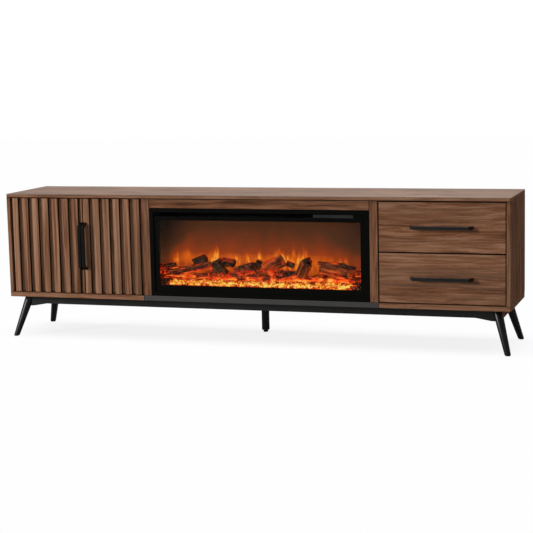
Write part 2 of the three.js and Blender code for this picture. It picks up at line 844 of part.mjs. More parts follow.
const corners = [
  ["front_left", -1, -1], ["front_right", 1, -1], ["back_left", -1, 1], ["back_right", 1, 1],
];
for (const [corner, sideX, sideY] of corners) {
  add(`${corner}_leg`, loft(legRings(sideX, sideY, 0)), blackSteel);
}
const legRoom = corners.map(([, sideX, sideY]) => {
  const rings = legRings(sideX, sideY, clearance);
  const above = rings.at(-1).map(([x, y]) => [x, y, legHeight + overrun]);
  return loft([...rings, above]);
});

const railEndX = legTopX;
const railZ = [baseZ - railHeight, baseZ];
const gussetZ = railZ[0] - gussetDrop;
const gussetEndX = railEndX + gussetDrop * gussetEndShare;
const gussetStartX = railEndX - legTopRadius;
const railOutline = [
  [railZ[1], -railEndX], [railZ[1], railEndX], [gussetZ, gussetEndX],
  [gussetZ, gussetStartX], [railZ[0], gussetStartX - gussetLength],
  [railZ[0], gussetLength - gussetStartX], [gussetZ, -gussetStartX],
  [gussetZ, -gussetEndX],
];
const railSpans = [
  ["front", [frontY + railSetback, frontY + railSetback + railThickness]],
  ["back", [backY - railSetback - railThickness, backY - railSetback]],
];
for (const [side, span] of railSpans) {
  const rail = solidOf(cut(prism(railOutline, "y", ...span), ...legRoom));
  const parts = rail.decompose().sort((a, b) => b.volume() - a.volume());
  add(`${side}_rail`, geometryOf(parts[0]), blackSteel);
}
for (const [side, sideX] of [["left", -1], ["right", 1]]) {
  const outer = sideX * (endX - apronInset);
  const inner = outer - sideX * apronThickness;
  const span = [bodyMiddleY - legTopDepth, bodyMiddleY + legTopDepth];
  const board = slab([Math.min(outer, inner), Math.max(outer, inner)], span, railZ);
  const parts = solidOf(cut(board, ...legRoom)).decompose().sort((a, b) => b.volume() - a.volume());
  add(`${side}_apron`, geometryOf(parts[0]), walnutDark);
}
const centreLegY = middle(railSpans[1][1]);
add(
  "centre_leg",
  join(
    prism(
      circle(centreLegX, centreLegY, centreLegRadius, legSides), "z", centreGlideHeight, railZ[0],
    ),
    prism(
      circle(centreLegX, centreLegY, centreGlideRadius, legSides),
      "z", 0, centreGlideHeight + overrun,
    ),
  ),
  blackSteel,
);

export default cabinet;
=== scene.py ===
"""The looks of a long walnut media cabinet with an electric fireplace in its middle bay.

Metres, +Z up, +X along the cabinet, the front faces -Y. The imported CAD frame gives
every place and size; the pieces made here stand for its nodes or sit on them.
"""

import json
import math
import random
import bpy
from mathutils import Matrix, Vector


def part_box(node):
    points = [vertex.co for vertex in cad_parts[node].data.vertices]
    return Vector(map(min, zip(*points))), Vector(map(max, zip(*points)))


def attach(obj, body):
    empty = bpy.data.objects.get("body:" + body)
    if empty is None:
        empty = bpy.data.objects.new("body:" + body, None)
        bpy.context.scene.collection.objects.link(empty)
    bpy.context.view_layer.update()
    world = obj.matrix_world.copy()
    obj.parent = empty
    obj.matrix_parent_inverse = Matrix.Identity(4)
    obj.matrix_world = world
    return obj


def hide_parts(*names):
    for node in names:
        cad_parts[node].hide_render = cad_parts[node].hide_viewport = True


bl_info = {
    "name": "Fireplace Cabinet",
    "version": (1, 0, 0),
    "blender": (4, 5, 0),
    "location": "View3D > Sidebar > Cabinet",
    "description": "Builds the looks of a walnut media cabinet with an electric fireplace",
    "category": "Object",
}

from functools import cache

import bmesh
import bpy
from bpy.props import FloatProperty, FloatVectorProperty, IntProperty, PointerProperty
from bpy.types import Operator, Panel, PropertyGroup
from mathutils import Matrix, Vector, noise

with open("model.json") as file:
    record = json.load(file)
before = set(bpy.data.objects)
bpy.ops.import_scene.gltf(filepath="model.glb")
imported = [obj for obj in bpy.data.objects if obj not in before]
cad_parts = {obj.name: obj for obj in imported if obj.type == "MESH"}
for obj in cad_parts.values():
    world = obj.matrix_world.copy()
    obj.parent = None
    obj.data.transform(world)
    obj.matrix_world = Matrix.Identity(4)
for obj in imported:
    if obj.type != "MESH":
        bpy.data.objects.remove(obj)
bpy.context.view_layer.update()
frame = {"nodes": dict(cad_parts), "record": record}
NODES = frame["nodes"]
RECORD = frame["record"]
BODY_OF = {
    node: body for body, nodes in RECORD["behaviour"]["bodies"].items() for node in nodes
}


def srgb(red, green, blue):
    """A display colour from 0 to 255, as the linear colour that shaders take."""
    def channel(value):
        share = value / 255
        return share / 12.92 if share <= 0.04045 else ((share + 0.055) / 1.055) ** 2.4
    return (channel(red), channel(green), channel(blue), 1.0)


# Settings that a user would change

def colour(name, description, red, green, blue):
    return FloatVectorProperty(
        name=name, description=description, default=srgb(red, green, blue), size=4,
        subtype="COLOR", min=0, max=1)


def length(name, description, default):
    return FloatProperty(
        name=name, description=description, default=default, unit="LENGTH", min=0,
        precision=4)


def share(name, description, default, high=1.0):
    return FloatProperty(
        name=name, description=description, default=default, subtype="FACTOR", min=0,
        max=high)


def strength(name, description, default):
    return FloatProperty(name=name, description=description, default=default, min=0)


def number(name, description, default):
    return IntProperty(name=name, description=description, default=default, min=1)


def rotation(name, description, degrees):
    return FloatProperty(
        name=name, description=description, default=math.radians(degrees), subtype="ANGLE")


class WalnutSettings(PropertyGroup):
    # The pale streaks are partly the wood's own colour and partly greyed as painted sheen on
    # the lit fronts
    pale: colour("Pale streaks", "Lightest wood in the figure", 158, 119, 94)
    middle: colour("Ground", "Main colour of the wood", 122, 80, 56)
    dark: colour("Dark streaks", "Darkest wood in the figure", 66, 40, 27)
    tan: colour("Tan boards", "Colour that greyer boards lean to", 136, 106, 85)
    # Painted shade: the near-black colour of the battens' sides, the gaps, the joints and the
    # band under the top
    flank: colour("Flank shade", "Sides of the battens", 24, 13, 9)
    figure: share("Figure", "How far the growth lines wander", 1.0, high=3.0)
    contrast: share("Contrast", "Contrast of the figure", 0.73, high=3.0)
    batten_contrast: share(
        "Batten contrast", "Contrast of the figure on the battens", 1.3, high=3.0)
    top_contrast: share("Top contrast", "Contrast of the figure on the top", 1.7, high=4.0)
    roughness: share("Roughness", "Roughness of the matt lacquer", 0.70)
    top_roughness: share("Top roughness", "Roughness of the satin top", 0.46)
    eased_edge: length("Eased edge", "Round on the edges of the boards", 0.0014)
    grey: colour("Grey board", "Board under the insert", 53, 51, 48)
    hardboard: colour("Back board", "Thin board at the back", 58, 48, 42)
    drawer_board: colour("Drawer board", "Sides and bottoms of the drawers", 150, 134, 114)


class DoorSettings(PropertyGroup):
    batten_width: length("Batten width", "Width of one upright batten", 0.025)
    batten_depth: length("Batten depth", "How far battens stand out", 0.012)
    batten_round: length("Batten edge", "Round on a batten's front edges", 0.0016)
    left_battens: number("Left battens", "Full battens on the left door", 7)
    right_battens: number("Right battens", "Full battens on the right door", 6)
    margin: length("Margin", "Bare edge beside the outer batten", 0.007)
    strip_width: length("End strip", "Narrow strip at the left door's free edge", 0.007)
    strip_gap: length("Strip gap", "Gap beside the end strip", 0.0116)


class MetalSettings(PropertyGroup):
    coat: colour("Powder coat", "Legs, rails and pulls", 8, 8, 7)
    # Wear and painted highlight: the lighter coat on eased edges, where they catch light
    coat_wear_and_highlight: colour("Coat edges", "Powder coat where edges catch light", 34, 34, 34)
    coat_roughness: share("Coat roughness", "Roughness of the powder coat", 0.36)
    insert: colour("Insert black", "Trim and plate of the insert", 7, 7, 6)
    strip: colour("Control strip", "Control strip over the window", 30, 31, 30)
    plastic: colour("Black plastic", "Inlet, rocker, catch and blower", 28, 28, 29)
    pin: colour("Pin steel", "Burnished pins of the doors", 52, 46, 42)
    zinc: colour("Zinc", "Runners, pins, housing and duct", 172, 175, 178)
    edge: length("Metal edge", "Round on the edges of steel pieces", 0.0009)


class FireSettings(PropertyGroup):
    soot: colour("Dark air", "Screen in its upper corners", 26, 20, 16)
    haze: colour("Haze", "Glow high over the flames", 80, 44, 23)
    glow: colour("Glow", "Glow close over the logs", 160, 62, 18)
    flame: colour("Flame", "Body of a flame", 234, 106, 20)
    core: colour("Flame core", "Brightest part of a flame", 250, 164, 56)
    screen_strength: strength("Screen strength", "Light of the flame picture", 1.0)
    ember_strength: strength("Ember strength", "Light of the ember bed", 1.0)
    char: colour("Char", "Burnt surface of the logs", 24, 11, 6)
    bark: colour("Bark", "Unburnt brown of the logs", 106, 43, 18)
    splinters: number("Splinters", "Small split pieces between the logs", 20)
    chips: number("Chips", "Crushed chips on the ember bed", 1700)
    chip_size: length("Chip size", "Width of one chip", 0.013)
    coals: number("Coals", "Larger coals behind the chips", 420)
    coal_size: length("Coal size", "Width of one coal", 0.016)


class StageSettings(PropertyGroup):
    camera_place: FloatVectorProperty(
        name="Camera place", description="Where the camera stands", unit="LENGTH",
        default=(1.7925, -5.3266, 1.0787))
    heading: rotation("Heading", "Camera's turn to the left", 18.322)
    tilt: rotation("Tilt", "Camera's tilt, down is negative", -8.07)
    roll: rotation("Roll", "Camera's roll", 1.296)
    lens: FloatProperty(
        name="Lens", description="Focal length in millimetres", default=98.55, min=1)
    sky: strength("Sky", "Light from all round", 0.325)
    key: strength("Key", "Power of the soft key light in watts", 1135)
    overhead: strength("Overhead", "Power of the light overhead in watts", 120)
    floor: colour("Floor", "Floor as the object's undersides see it", 168, 167, 166)
    paper: colour("Floor paper", "Floor as the camera sees it", 254, 254, 254)
    shadow: share("Floor shadow", "How much of the floor's shading shows", 0.18)


SETTINGS = {
    "cabinet_walnut": WalnutSettings,
    "cabinet_doors": DoorSettings,
    "cabinet_metal": MetalSettings,
    "cabinet_fire": FireSettings,
    "cabinet_stage": StageSettings,
}


def settings(group):
    """The scene's values of one group of settings."""
    return getattr(bpy.context.scene, f"cabinet_{group}")


# Node trees

class Value:
    """What a node puts out; plain arithmetic on it adds the Math nodes that it takes."""

    def __init__(self, node, output=0):
        self.node = node
        self.tree = node.id_data
        self.socket = node.outputs[output]

    def __add__(self, other):
        return calc("ADD", self, other)

    def __sub__(self, other):
        return calc("SUBTRACT", self, other)

    def __rsub__(self, other):
        return calc("SUBTRACT", other, self)

    def __mul__(self, other):
        return calc("MULTIPLY", self, other)

    def __truediv__(self, other):
        return calc("DIVIDE", self, other)

    def __abs__(self):
        return calc("ABSOLUTE", self)

    def clamped(self):
        """Holds the result of a Math node between 0 and 1."""
        self.node.use_clamp = True
        return self

    def parts(self):
        """The X, Y and Z of a vector."""
        split = put(self.tree, "ShaderNodeSeparateXYZ", {"Vector": self})
        return [Value(split.node, axis) for axis in "XYZ"]


def feed(socket, value):
    if isinstance(value, Value):
        value.tree.links.new(value.socket, socket)
    else:
        socket.default_value = value


def put(tree, kind, inputs=(), output=0, **options):
    """Adds a node and gives what it puts out; inputs has plain or fed values by socket."""
    made = tree.nodes.new(kind)
    for name, option in options.items():
        setattr(made, name, option)
    for key, value in dict(inputs).items():
        feed(made.inputs[key], value)
    return Value(made, output)


def first_fed(values):
    """The first of some values that comes from a node."""
    return next(value for value in values if isinstance(value, Value))


def calc(operation, *values):
    """A Math node, or a Vector Math node where the first value from a node is a vector."""
    first = first_fed(values)
    kind = "ShaderNodeVectorMath" if first.socket.type == "VECTOR" else "ShaderNodeMath"
    return put(first.tree, kind, enumerate(values), operation=operation)


def highest(first, *others):
    for other in others:
        first = calc("MAXIMUM", first, other)
    return first


def noise_at(place, waves, detail=2.0, roughness=0.5):
    """Noise from 0 to 1, with its waves to a metre, alike or along each axis."""
    if not isinstance(waves, tuple):
        waves = (waves, waves, waves)
    return put(place.tree, "ShaderNodeTexNoise", {
        "Vector": place * waves, "Scale": 1.0, "Detail": detail, "Roughness": roughness,
    }, "Fac")


def smooth(value, low, high, to_low=0.0, to_high=1.0):
    """Eases from one level to another while the value goes from low to high."""
    return put(value.tree, "ShaderNodeMapRange", {
        "Value": value, "From Min": low, "From Max": high, "To Min": to_low,
        "To Max": to_high,
    }, "Result", interpolation_type="SMOOTHSTEP")


def mix(factor, first, second):
    """A mix of two colours, which are sockets 6 and 7 of the node, and 2 of its outputs."""
    return put(
        factor.tree, "ShaderNodeMix", {0: factor, 6: first, 7: second}, 2, data_type="RGBA")


def ramp(factor, *stops):
    """Colours by level of the factor; each stop is a level and its colour."""
    made = put(factor.tree, "ShaderNodeValToRGB", {"Fac": factor}, "Color")
    elements = made.node.color_ramp.elements
    while len(elements) < len(stops):
        elements.new(0.5)
    for element, (level, tone) in zip(elements, stops):
        element.position = level
        element.color = tone
    return made


def attribute(tree, name, output="Fac"):
    return put(tree, "ShaderNodeAttribute", output=output, attribute_name=name)


def labelled(values):
    """Keywords as the labels of sockets, so Base_Color becomes Base Color."""
    return {key.replace("_", " "): value for key, value in values.items()}


def group_tree(kind, name, inputs, outputs, output_type="Float"):
    """An empty group, the values that it is given and the sockets of its results."""
    tree = bpy.data.node_groups.new(name, kind)
    sockets = [("INPUT", *given) for given in inputs]
    sockets += [("OUTPUT", label, output_type) for label in outputs]
    for in_out, label, socket_type, *default in sockets:
        made = tree.interface.new_socket(
            label, in_out=in_out, socket_type="NodeSocket" + socket_type)
        if default:
            made.default_value = default[0]
    entry = tree.nodes.new("NodeGroupInput")
    given = {label: Value(entry, label) for label, *_ in inputs}
    return tree, given, tree.nodes.new("NodeGroupOutput").inputs


def use(group, **inputs):
    """Places a group beside the node that feeds it, and gives its results by name."""
    tree = first_fed(inputs.values()).tree
    node = put(tree, "ShaderNodeGroup", labelled(inputs), node_tree=group).node
    return {socket.name: Value(node, socket.name) for socket in node.outputs}


def finished(made, height=None, depth=0.0, **inputs):
    """Sets or feeds a material's Principled shader, with a bump where a height is given."""
    shader = made.node_tree.nodes["Principled BSDF"]
    if height is not None:
        inputs["Normal"] = put(made.node_tree, "ShaderNodeBump", {
            "Height": height, "Distance": depth, "Strength": 1.0})
    for label, value in labelled(inputs).items():
        feed(shader.inputs[label], value)
    return made


def new_material(name, **plain):
    """A material with plain values on its shader, and its object coordinates."""
    made = bpy.data.materials.new(name)
    made.use_nodes = True
    finished(made, **plain)
    return made, put(made.node_tree, "ShaderNodeTexCoord", output="Object")


# Effects shared by the finishes

@cache
def walnut_figure():
    """Growth lines, streaks and pores from a place with its grain along the first axis."""
    tree, given, result = group_tree(
        "ShaderNodeTree", "Walnut Figure", [("Grain", "Vector"), ("Figure", "Float", 1.0)],
        ["Tone", "Warmth", "Pores", "Height"])
    grain = given["Grain"]
    swirl = noise_at(grain, (1.7, 7, 7)) - 0.5
    ripple = noise_at(grain, (15, 30, 30)) - 0.5
    wander = (ripple * 0.006 + swirl * 0.060) * given["Figure"]
    bent = grain + put(tree, "ShaderNodeCombineXYZ", {"Y": wander, "Z": wander})
    field = noise_at(bent, (0.9, 11, 11), 1.0, 0.4)
    lines = calc("SINE", field * 62.0) * 0.5 + 0.5
    streaks = smooth(noise_at(bent, (5, 125, 125), 4.0, 0.62), 0.34, 0.66)
    broad = smooth(noise_at(bent, (1.4, 24, 24)), 0.28, 0.72)
    fibre = noise_at(bent, (22, 620, 620))
    pores = smooth(noise_at(bent, (70, 1700, 1700), 1.0), 0.60, 0.74)
    feed(result["Tone"], lines * 0.13 + streaks * 0.40 + broad * 0.20 + fibre * 0.27)
    feed(result["Warmth"], smooth(noise_at(bent, (0.7, 30, 30)), 0.3, 0.7))
    feed(result["Pores"], pores)
    feed(result["Height"], fibre * 0.5 - pores * 0.8)
    return tree


@cache
def edge_wear_and_highlight():
    """How much a place's edges are lightened, as wear and a painted highlight: the eased
    edges marked in the mesh, broken up by noise.
    """
    tree, given, result = group_tree(
        "ShaderNodeTree", "Edge Wear And Highlight", [("Place", "Vector"), ("Patch Size", "Float", 0.02)],
        ["Wear"])
    patches = noise_at(given["Place"] / given["Patch Size"], 1, 3.0)
    patches = smooth(patches, 0.35, 0.65, 0.35)
    feed(result["Wear"], (patches * attribute(tree, "edge")).clamped())
    return tree


@cache
def fine_tooth():
    """The fine texture of powder coat and moulded plastic, with slow smudges over it."""
    tree, given, result = group_tree(
        "ShaderNodeTree", "Fine Tooth", [("Place", "Vector"), ("Grain Size", "Float", 0.0006)],
        ["Height", "Smudge"])
    feed(result["Height"], noise_at(given["Place"] / given["Grain Size"], 1))
    feed(result["Smudge"], smooth(noise_at(given["Place"], 9, 4.0, 0.6), 0.3, 0.7))
    return tree


@cache
def flame_tongue():
    """One flame on the screen: full at its base, narrowing and fading to a leaning tip."""
    tree, given, result = group_tree(
        "ShaderNodeTree", "Flame Tongue",
        [("X", "Float"), ("Z", "Float"), ("Base X", "Float"), ("Base Z", "Float"),
         ("Height", "Float", 0.05), ("Width", "Float", 0.01), ("Lean", "Float"),
         ("Power", "Float", 1.0)],
        ["Glow"])
    rise = given["Z"] - given["Base Z"]
    root = smooth(rise, -0.034, 0.006, 0.35, 1.0)
    rise = (rise / given["Height"]).clamped()
    left = 1.0 - rise
    centre = given["Lean"] * rise + given["Base X"]
    half = given["Width"] * calc("POWER", left, 0.7) + 0.0012
    aside = (given["X"] - centre) / half
    body = calc("EXPONENT", aside * aside * -1.1)
    feed(result["Glow"], body * smooth(left, 0.0, 0.75) * root * given["Power"])
    return tree


# Finishes

LACQUER_TINT = (1.0, 0.96, 0.89, 1.0)
MATT_SPECULAR = 0.01
SATIN_SPECULAR = 0.8


def shaded(tone, factor):
    """A colour made darker or lighter by a factor."""
    return (*(min(1.0, channel * factor) for channel in tone[:3]), 1.0)


def painted_shade_under_top(place, darkest):
    """Painted shade: a soft dark band on the fronts, close under the top board, where its
    shadow falls.
    """
    low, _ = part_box("top_panel")
    reach, front = 0.024, 0.012
    _, y, z = place.parts()
    below = low.z - z
    band = smooth(below, 0.0, reach, darkest, 0.0) * calc("GREATER_THAN", below, 0.0)
    return band * smooth(y, low.y + front, low.y + 2 * front, 1.0, 0.0)


@cache
def walnut_finish(name, roughness, specular, contrast, lacquer=0.0, wear_and_highlight=0.35, shade=0.0):
    """Walnut veneer under lacquer; each board holds its own grain direction and tone.

    Marked flanks, gaps and joints are darkened as painted shade, the joints as dirt too;
    eased edges are lightened as wear and a painted highlight; shade paints a shadow
    on the fronts under the top board.
    """
    values = settings("walnut")
    made, place = new_material(
        name, IOR=1.46, Specular_IOR_Level=specular, Coat_Weight=lacquer,
        Coat_Roughness=values.top_roughness, Coat_Tint=LACQUER_TINT)
    tree = place.tree
    figure = use(
        walnut_figure(), Grain=attribute(tree, "grain", "Vector"), Figure=values.figure)
    leaning = (attribute(tree, "board") - 0.5) * 0.30 + 0.5
    tone = (figure["Tone"] - 0.5) * contrast + leaning
    wood = ramp(tone, (0.20, values.dark), (0.50, values.middle), (0.80, values.pale))
    wood = mix(figure["Warmth"] * 0.32, wood, values.tan)
    wood = mix(figure["Pores"] * 0.35, wood, values.dark)
    wood = mix(use(edge_wear_and_highlight(), Place=place)["Wear"] * wear_and_highlight, wood, values.pale)
    # Painted shade: marked flanks, gaps and joints go towards the flank colour; on the joints
    # it is dirt as well
    wood = mix(attribute(tree, "flank") * 0.94, wood, values.flank)
    # Painted shade: the fronts darken under the top board as if in its shadow
    if shade:
        wood = mix(painted_shade_under_top(place, shade), wood, values.flank)
    return finished(
        made, figure["Height"], 0.00012, Base_Color=wood,
        Roughness=figure["Pores"] * 0.15 + roughness)


def walnut():
    values = settings("walnut")
    # The shade paints a shadow on the fronts under the top board
    return walnut_finish(
        "walnut_matt", values.roughness, MATT_SPECULAR, values.contrast, shade=0.30)


def walnut_battens():
    values = settings("walnut")
    return walnut_finish(
        "walnut_battens", values.roughness, MATT_SPECULAR, values.batten_contrast)


def walnut_top():
    values = settings("walnut")
    # The top's eased edges are lightened fully: wear and a painted highlight along its front
    # edge
    return walnut_finish(
        "walnut_satin", values.top_roughness, SATIN_SPECULAR, values.top_contrast,
        lacquer=0.9, wear_and_highlight=1.0)


def board_finish(name, tone, waves, contrast, roughness):
    """A plain board: hardboard, melamine or painted board, with a faint run of fibre."""
    made, place = new_material(name, Specular_IOR_Level=0.4)
    fibre = noise_at(place, waves, 4.0, 0.6)
    clouds = noise_at(place, 5, 3.0)
    darker, lighter = shaded(tone, 1 - contrast), shaded(tone, 1 + contrast)
    face = ramp(fibre * 0.7 + clouds * 0.3, (0.3, darker), (0.7, lighter))
    wear = use(edge_wear_and_highlight(), Place=place)["Wear"]
    return finished(
        made, fibre, 0.00015, Base_Color=mix(wear * 0.4, face, lighter),
        Roughness=fibre * 0.14 + (roughness - 0.07))


@cache
def grey_board():
    return board_finish("grey_board", settings("walnut").grey, (14, 420, 420), 0.14, 0.5)


@cache
def back_board():
    return board_finish("back_hardboard", settings("walnut").hardboard, 260, 0.22, 0.72)


@cache
def drawer_board():
    tone = settings("walnut").drawer_board
    return board_finish("drawer_melamine", tone, (110, 7, 260), 0.1, 0.55)


def coated(name, tone, wear_and_highlight, roughness, specular=0.5, tooth=0.0006, depth=0.00005):
    """Paint or plastic over a fine tooth, its edges a little lighter
    as wear and a painted highlight.
    """
    made, place = new_material(name, Specular_IOR_Level=specular)
    texture = use(fine_tooth(), Place=place, Grain_Size=tooth)
    wear = use(edge_wear_and_highlight(), Place=place, Patch_Size=0.03)["Wear"]
    face = mix(texture["Smudge"] * 0.5, tone, shaded(tone, 1.35))
    return finished(
        made, texture["Height"], depth, Base_Color=mix(wear * 0.6, face, wear_and_highlight),
        Roughness=texture["Smudge"] * 0.12 + (roughness - 0.06))


@cache
def powder_coat(name="black_powder_coat", specular=0.33):
    values = settings("metal")
    return coated(name, values.coat, values.coat_wear_and_highlight, values.coat_roughness, specular)


@cache
def insert_black():
    values = settings("metal")
    return coated(
        "insert_black", values.insert, values.coat, 0.5, 0.03, tooth=0.0009, depth=0.00002)


@cache
def strip_plastic():
    values = settings("metal")
    return coated(
        "control_strip", values.strip, values.coat_wear_and_highlight, 0.3, 0.30, tooth=0.0015,
        depth=0.00001)


@cache
def black_plastic():
    values = settings("metal")
    return coated(
        "black_plastic", values.plastic, values.coat_wear_and_highlight, 0.5, tooth=0.0004, depth=0.00006)


def plated(name, tone):
    """Plated sheet steel with its crystal spangle."""
    made, place = new_material(name, Metallic=1.0)
    tree = place.tree
    spangle = put(tree, "ShaderNodeTexVoronoi", {"Vector": place, "Scale": 95.0}, "Color")
    crystal = put(tree, "ShaderNodeSeparateColor", {"Color": spangle})
    rolled = noise_at(place, (30, 300, 300), 3.0)
    return finished(
        made, rolled, 0.00004, Base_Color=mix(crystal, shaded(tone, 0.72), tone),
        Roughness=crystal * 0.16 + rolled * 0.1 + 0.3)


@cache
def zinc_plate():
    return plated("zinc_plate", settings("metal").zinc)


@cache
def pin_steel():
    return plated("pin_steel", settings("metal").pin)


@cache
def rotor_foil():
    made, place = new_material("rotor_foil", Metallic=1.0, Base_Color=srgb(205, 205, 208))
    crease = noise_at(place, (60, 220, 220), 3.0)
    return finished(made, crease, 0.0004, Roughness=crease * 0.3 + 0.12)


@cache
def contact_brass():
    made, place = new_material("contact_brass", Metallic=1.0)
    smear = noise_at(place, (700, 120, 700), 3.0)
    brass = ramp(smear, (0.3, srgb(160, 128, 62)), (0.7, srgb(212, 182, 104)))
    return finished(made, Base_Color=brass, Roughness=smear * 0.3 + 0.2)


@cache
def fire_glass():
    made, place = new_material(
        "fire_glass", Base_Color=srgb(236, 234, 231), Transmission_Weight=1.0, IOR=1.04)
    film = noise_at(place, 7, 4.0, 0.6)
    return finished(made, Roughness=smooth(film, 0.4, 0.8, 0.0, 0.05))


# Flames from left to right on the screen: base X and Z, height, half width and lean in
# metres, then power
FLAMES = [
    (-0.335, 0.284, 0.073, 0.014, 0.012, 0.29), (-0.318, 0.294, 0.067, 0.012, 0.010, 0.69),
    (-0.268, 0.294, 0.095, 0.026, -0.006, 0.31), (-0.220, 0.304, 0.046, 0.016, 0.004, 0.74),
    (-0.176, 0.296, 0.085, 0.019, 0.010, 0.57), (-0.156, 0.312, 0.081, 0.013, 0.008, 0.87),
    (-0.100, 0.294, 0.056, 0.014, 0.004, 0.37), (-0.070, 0.294, 0.063, 0.019, 0.003, 0.64),
    (-0.020, 0.292, 0.068, 0.013, -0.006, 0.57), (0.020, 0.320, 0.049, 0.013, 0.010, 0.74),
    (0.060, 0.290, 0.061, 0.023, -0.004, 0.46), (0.106, 0.306, 0.081, 0.025, -0.008, 0.66),
    (0.116, 0.314, 0.037, 0.017, 0.003, 0.83), (0.144, 0.306, 0.054, 0.007, -0.002, 0.92),
    (0.160, 0.299, 0.107, 0.009, 0.002, 0.66), (0.178, 0.294, 0.073, 0.012, 0.002, 0.61),
    (0.196, 0.324, 0.063, 0.014, 0.008, 0.75), (0.226, 0.294, 0.049, 0.017, 0.004, 0.39),
    (0.252, 0.290, 0.054, 0.014, 0.002, 0.42), (0.288, 0.290, 0.051, 0.014, -0.004, 0.44),
    (0.318, 0.290, 0.056, 0.014, -0.006, 0.57), (0.344, 0.292, 0.049, 0.012, 0.002, 0.61),
    (0.366, 0.284, 0.068, 0.013, 0.008, 0.72), (0.410, 0.274, 0.061, 0.019, 0.004, 0.29),
]

# Light of the haze behind the flames, by share of the window's height
HAZE_LIGHT = [
    (0.0, 0.60), (0.28, 0.63), (0.38, 0.70), (0.50, 0.555), (0.66, 0.43), (0.82, 0.36),
    (0.97, 0.28), (1.0, 0.20),
]


def haze_light(share_up):
    made = put(share_up.tree, "ShaderNodeFloatCurve", {"Value": share_up})
    mapping = made.node.mapping
    points = mapping.curves[0].points
    points[0].location, points[1].location = HAZE_LIGHT[0], HAZE_LIGHT[-1]
    for spot in HAZE_LIGHT[1:-1]:
        points.new(*spot)
    mapping.update()
    return made


@cache
def flame_film():
    """The flame picture on the screen, drawn from a fading haze and single tongues."""
    values = settings("fire")
    low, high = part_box("fireplace_glass")
    made, place = new_material(
        "flame_film", Base_Color=srgb(8, 6, 5), Roughness=0.6, Specular_IOR_Level=0.1,
        Emission_Strength=values.screen_strength)
    x, _, z = place.parts()
    drift = noise_at(place, (30, 1, 17)) - 0.5
    curl = noise_at(place, (80, 1, 40)) - 0.5
    across = x + drift * 0.022 + curl * 0.006
    upright = z + drift * 0.016
    tongues = [
        use(flame_tongue(), X=across, Z=upright, Base_X=base_x, Base_Z=base_z, Height=height,
            Width=width, Lean=lean, Power=power)["Glow"]
        for base_x, base_z, height, width, lean, power in FLAMES
    ]
    streak = noise_at(place, (120, 1, 22), 3.0, 0.65)
    flames = sum(tongues[1:], tongues[0]) * smooth(streak, 0.36, 0.66, 0.18, 1.15)
    rise = z - low.z
    left_low = smooth(rise, 0.07, 0.25, 0.60, 0.0)
    dark_width = highest(rise * 1.05 - 0.080, 0.07)
    left = smooth(x - low.x, -0.020, dark_width, left_low, 1.0)
    right_low = smooth(rise, 0.12, 0.25, 0.56, 0.34)
    right = smooth(x, high.x - 0.22, high.x + 0.03, 1.0, right_low)
    clouds = noise_at(place, (16, 1, 11), 3.0) - 0.5
    clouds = clouds * smooth(rise, 0.10, 0.24, 1.0, 0.3)
    haze = haze_light(rise / (high.z - low.z)) * left * right + clouds * 0.30
    return finished(made, Emission_Color=ramp(
        (haze + flames * 0.54).clamped(), (0.0, values.soot), (0.34, values.haze),
        (0.62, values.glow), (0.86, values.flame), (1.0, values.core)))


@cache
def ember_glow():
    """Chips and coals that glow by themselves, ash grey towards the bed's two ends."""
    values = settings("fire")
    low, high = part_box("fireplace_glass")
    made, place = new_material(
        "ember_glow", Specular_IOR_Level=0.3, Emission_Strength=values.ember_strength)
    x, y, _ = place.parts()
    patches = smooth(noise_at(place, (34, 60, 34), 3.0), 0.36, 0.64)
    fleck = noise_at(place, 150) - 0.41
    brightness = attribute(place.tree, "spark") * 0.50 + patches * 0.36 + fleck * 1.05
    bright_lip, dim_depth = -0.134, -0.112
    brightness = brightness - smooth(y, bright_lip, dim_depth, 0.0, 0.35)
    middle, half = (low.x + high.x) / 2, (high.x - low.x) / 2
    ash = smooth(abs(x - middle), half - 0.055, half - 0.012)
    glow = ramp(
        (brightness - ash * 0.9).clamped(), (0.05, srgb(26, 5, 2)), (0.20, srgb(190, 24, 4)),
        (0.40, srgb(236, 82, 12)), (0.52, srgb(250, 160, 30)), (0.74, srgb(255, 228, 104)))
    grain = noise_at(place, 300, 3.0)
    return finished(
        made, grain, 0.0005, Emission_Color=glow, Roughness=grain * 0.3 + 0.35,
        Base_Color=ramp(grain, (0.3, srgb(20, 10, 5)), (0.7, srgb(80, 46, 18))))


